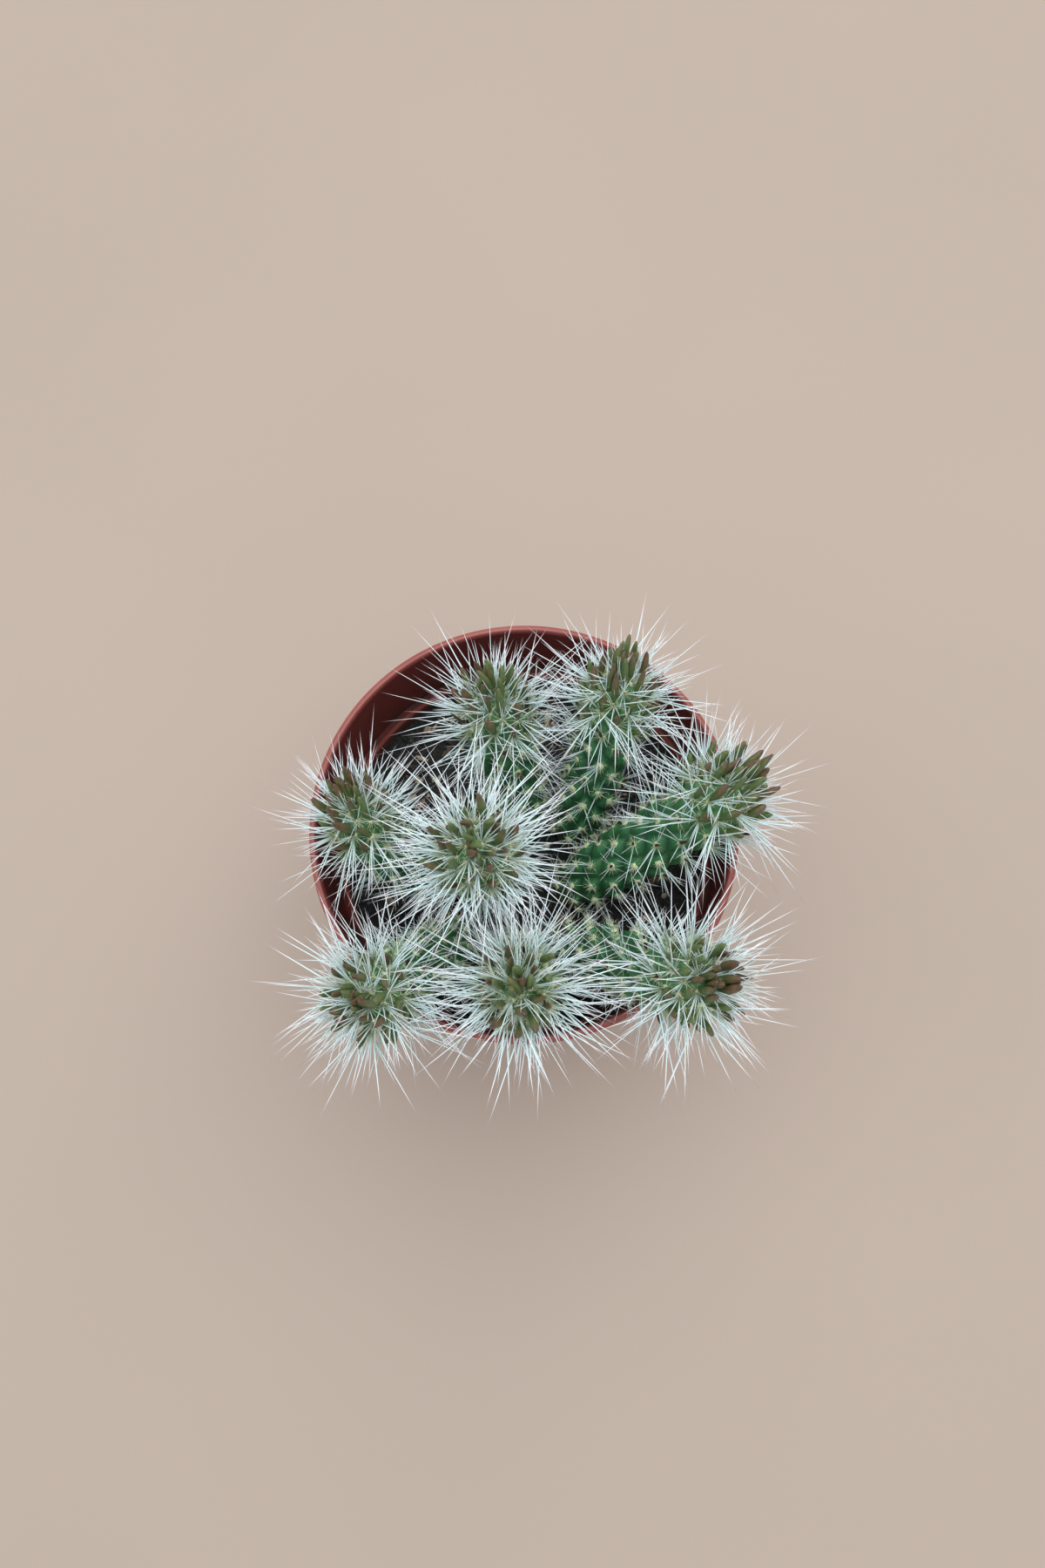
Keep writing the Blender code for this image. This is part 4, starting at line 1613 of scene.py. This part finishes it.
def plain_floor():
    finish = Finish("pale_floor", Roughness=0.6)
    clouds = finish.noise(6.0)
    finish.vary(Base_Color=finish.mix((0.38, 0.305, 0.255), (0.41, 0.330, 0.275), clouds))
    plan = bmesh.new()
    bmesh.ops.create_grid(plan, x_segments=1, y_segments=1, size=2.0)
    floor = new_object("pale_floor", plan, finish.material)


def soft_light(name, place, aim, size, power, colour):
    light = bpy.data.lights.new(name, "AREA")
    light.size = size
    light.energy = power
    light.color = colour
    lamp = put_in_scene(name, light)
    lamp.location = place
    lamp.rotation_euler = (Vector(aim) - Vector(place)).to_track_quat("-Z", "Y").to_euler()


def room_light(colour, strength):
    world = bpy.data.worlds.new("room")
    world.use_nodes = True
    ground = world.node_tree.nodes["Background"]
    ground.inputs["Color"].default_value = (*colour, 1)
    ground.inputs["Strength"].default_value = strength
    bpy.context.scene.world = world


bpy.context.scene.view_settings.view_transform = "Standard"
plain_floor()
soft_light("overhead", (0.35, 0.5, 2.3), (0.05, 0, 0.08), 2.8, 55.0, (1.0, 0.99, 0.97))
soft_light("window", (-1.6, 0.2, 1.5), (0, 0, 0.08), 1.2, 7.0, (0.92, 0.96, 1.0))
room_light((0.93, 0.96, 1.0), 0.70)

# %% Camera
CAMERA_PLACE = (0.40 * MM, -69.15 * MM, 372.68 * MM)
CAMERA_DOWN = math.radians(74.237)
CAMERA_ROLL = math.radians(-3.556)
FOCAL_LENGTH_IN_PIXELS = 1361.5
FRAME_HEIGHT = 1800


def phone_camera():
    forward = Vector((0, math.cos(CAMERA_DOWN), -math.sin(CAMERA_DOWN)))
    right = Vector((1, 0, 0))
    up = right.cross(forward)
    turned_right = right * math.cos(CAMERA_ROLL) + up * math.sin(CAMERA_ROLL)
    turned_up = up * math.cos(CAMERA_ROLL) - right * math.sin(CAMERA_ROLL)
    lens = bpy.data.cameras.new("camera")
    lens.sensor_width = 36
    lens.lens = lens.sensor_width * FOCAL_LENGTH_IN_PIXELS / FRAME_HEIGHT
    lens.clip_start = 0.01
    camera = put_in_scene("camera", lens)
    turn = Matrix((turned_right, turned_up, -forward)).transposed()
    camera.matrix_world = Matrix.Translation(CAMERA_PLACE) @ turn.to_4x4()
    bpy.context.scene.camera = camera
    return camera


camera = phone_camera()
print("camera lens:", round(camera.data.lens, 2), "mm")
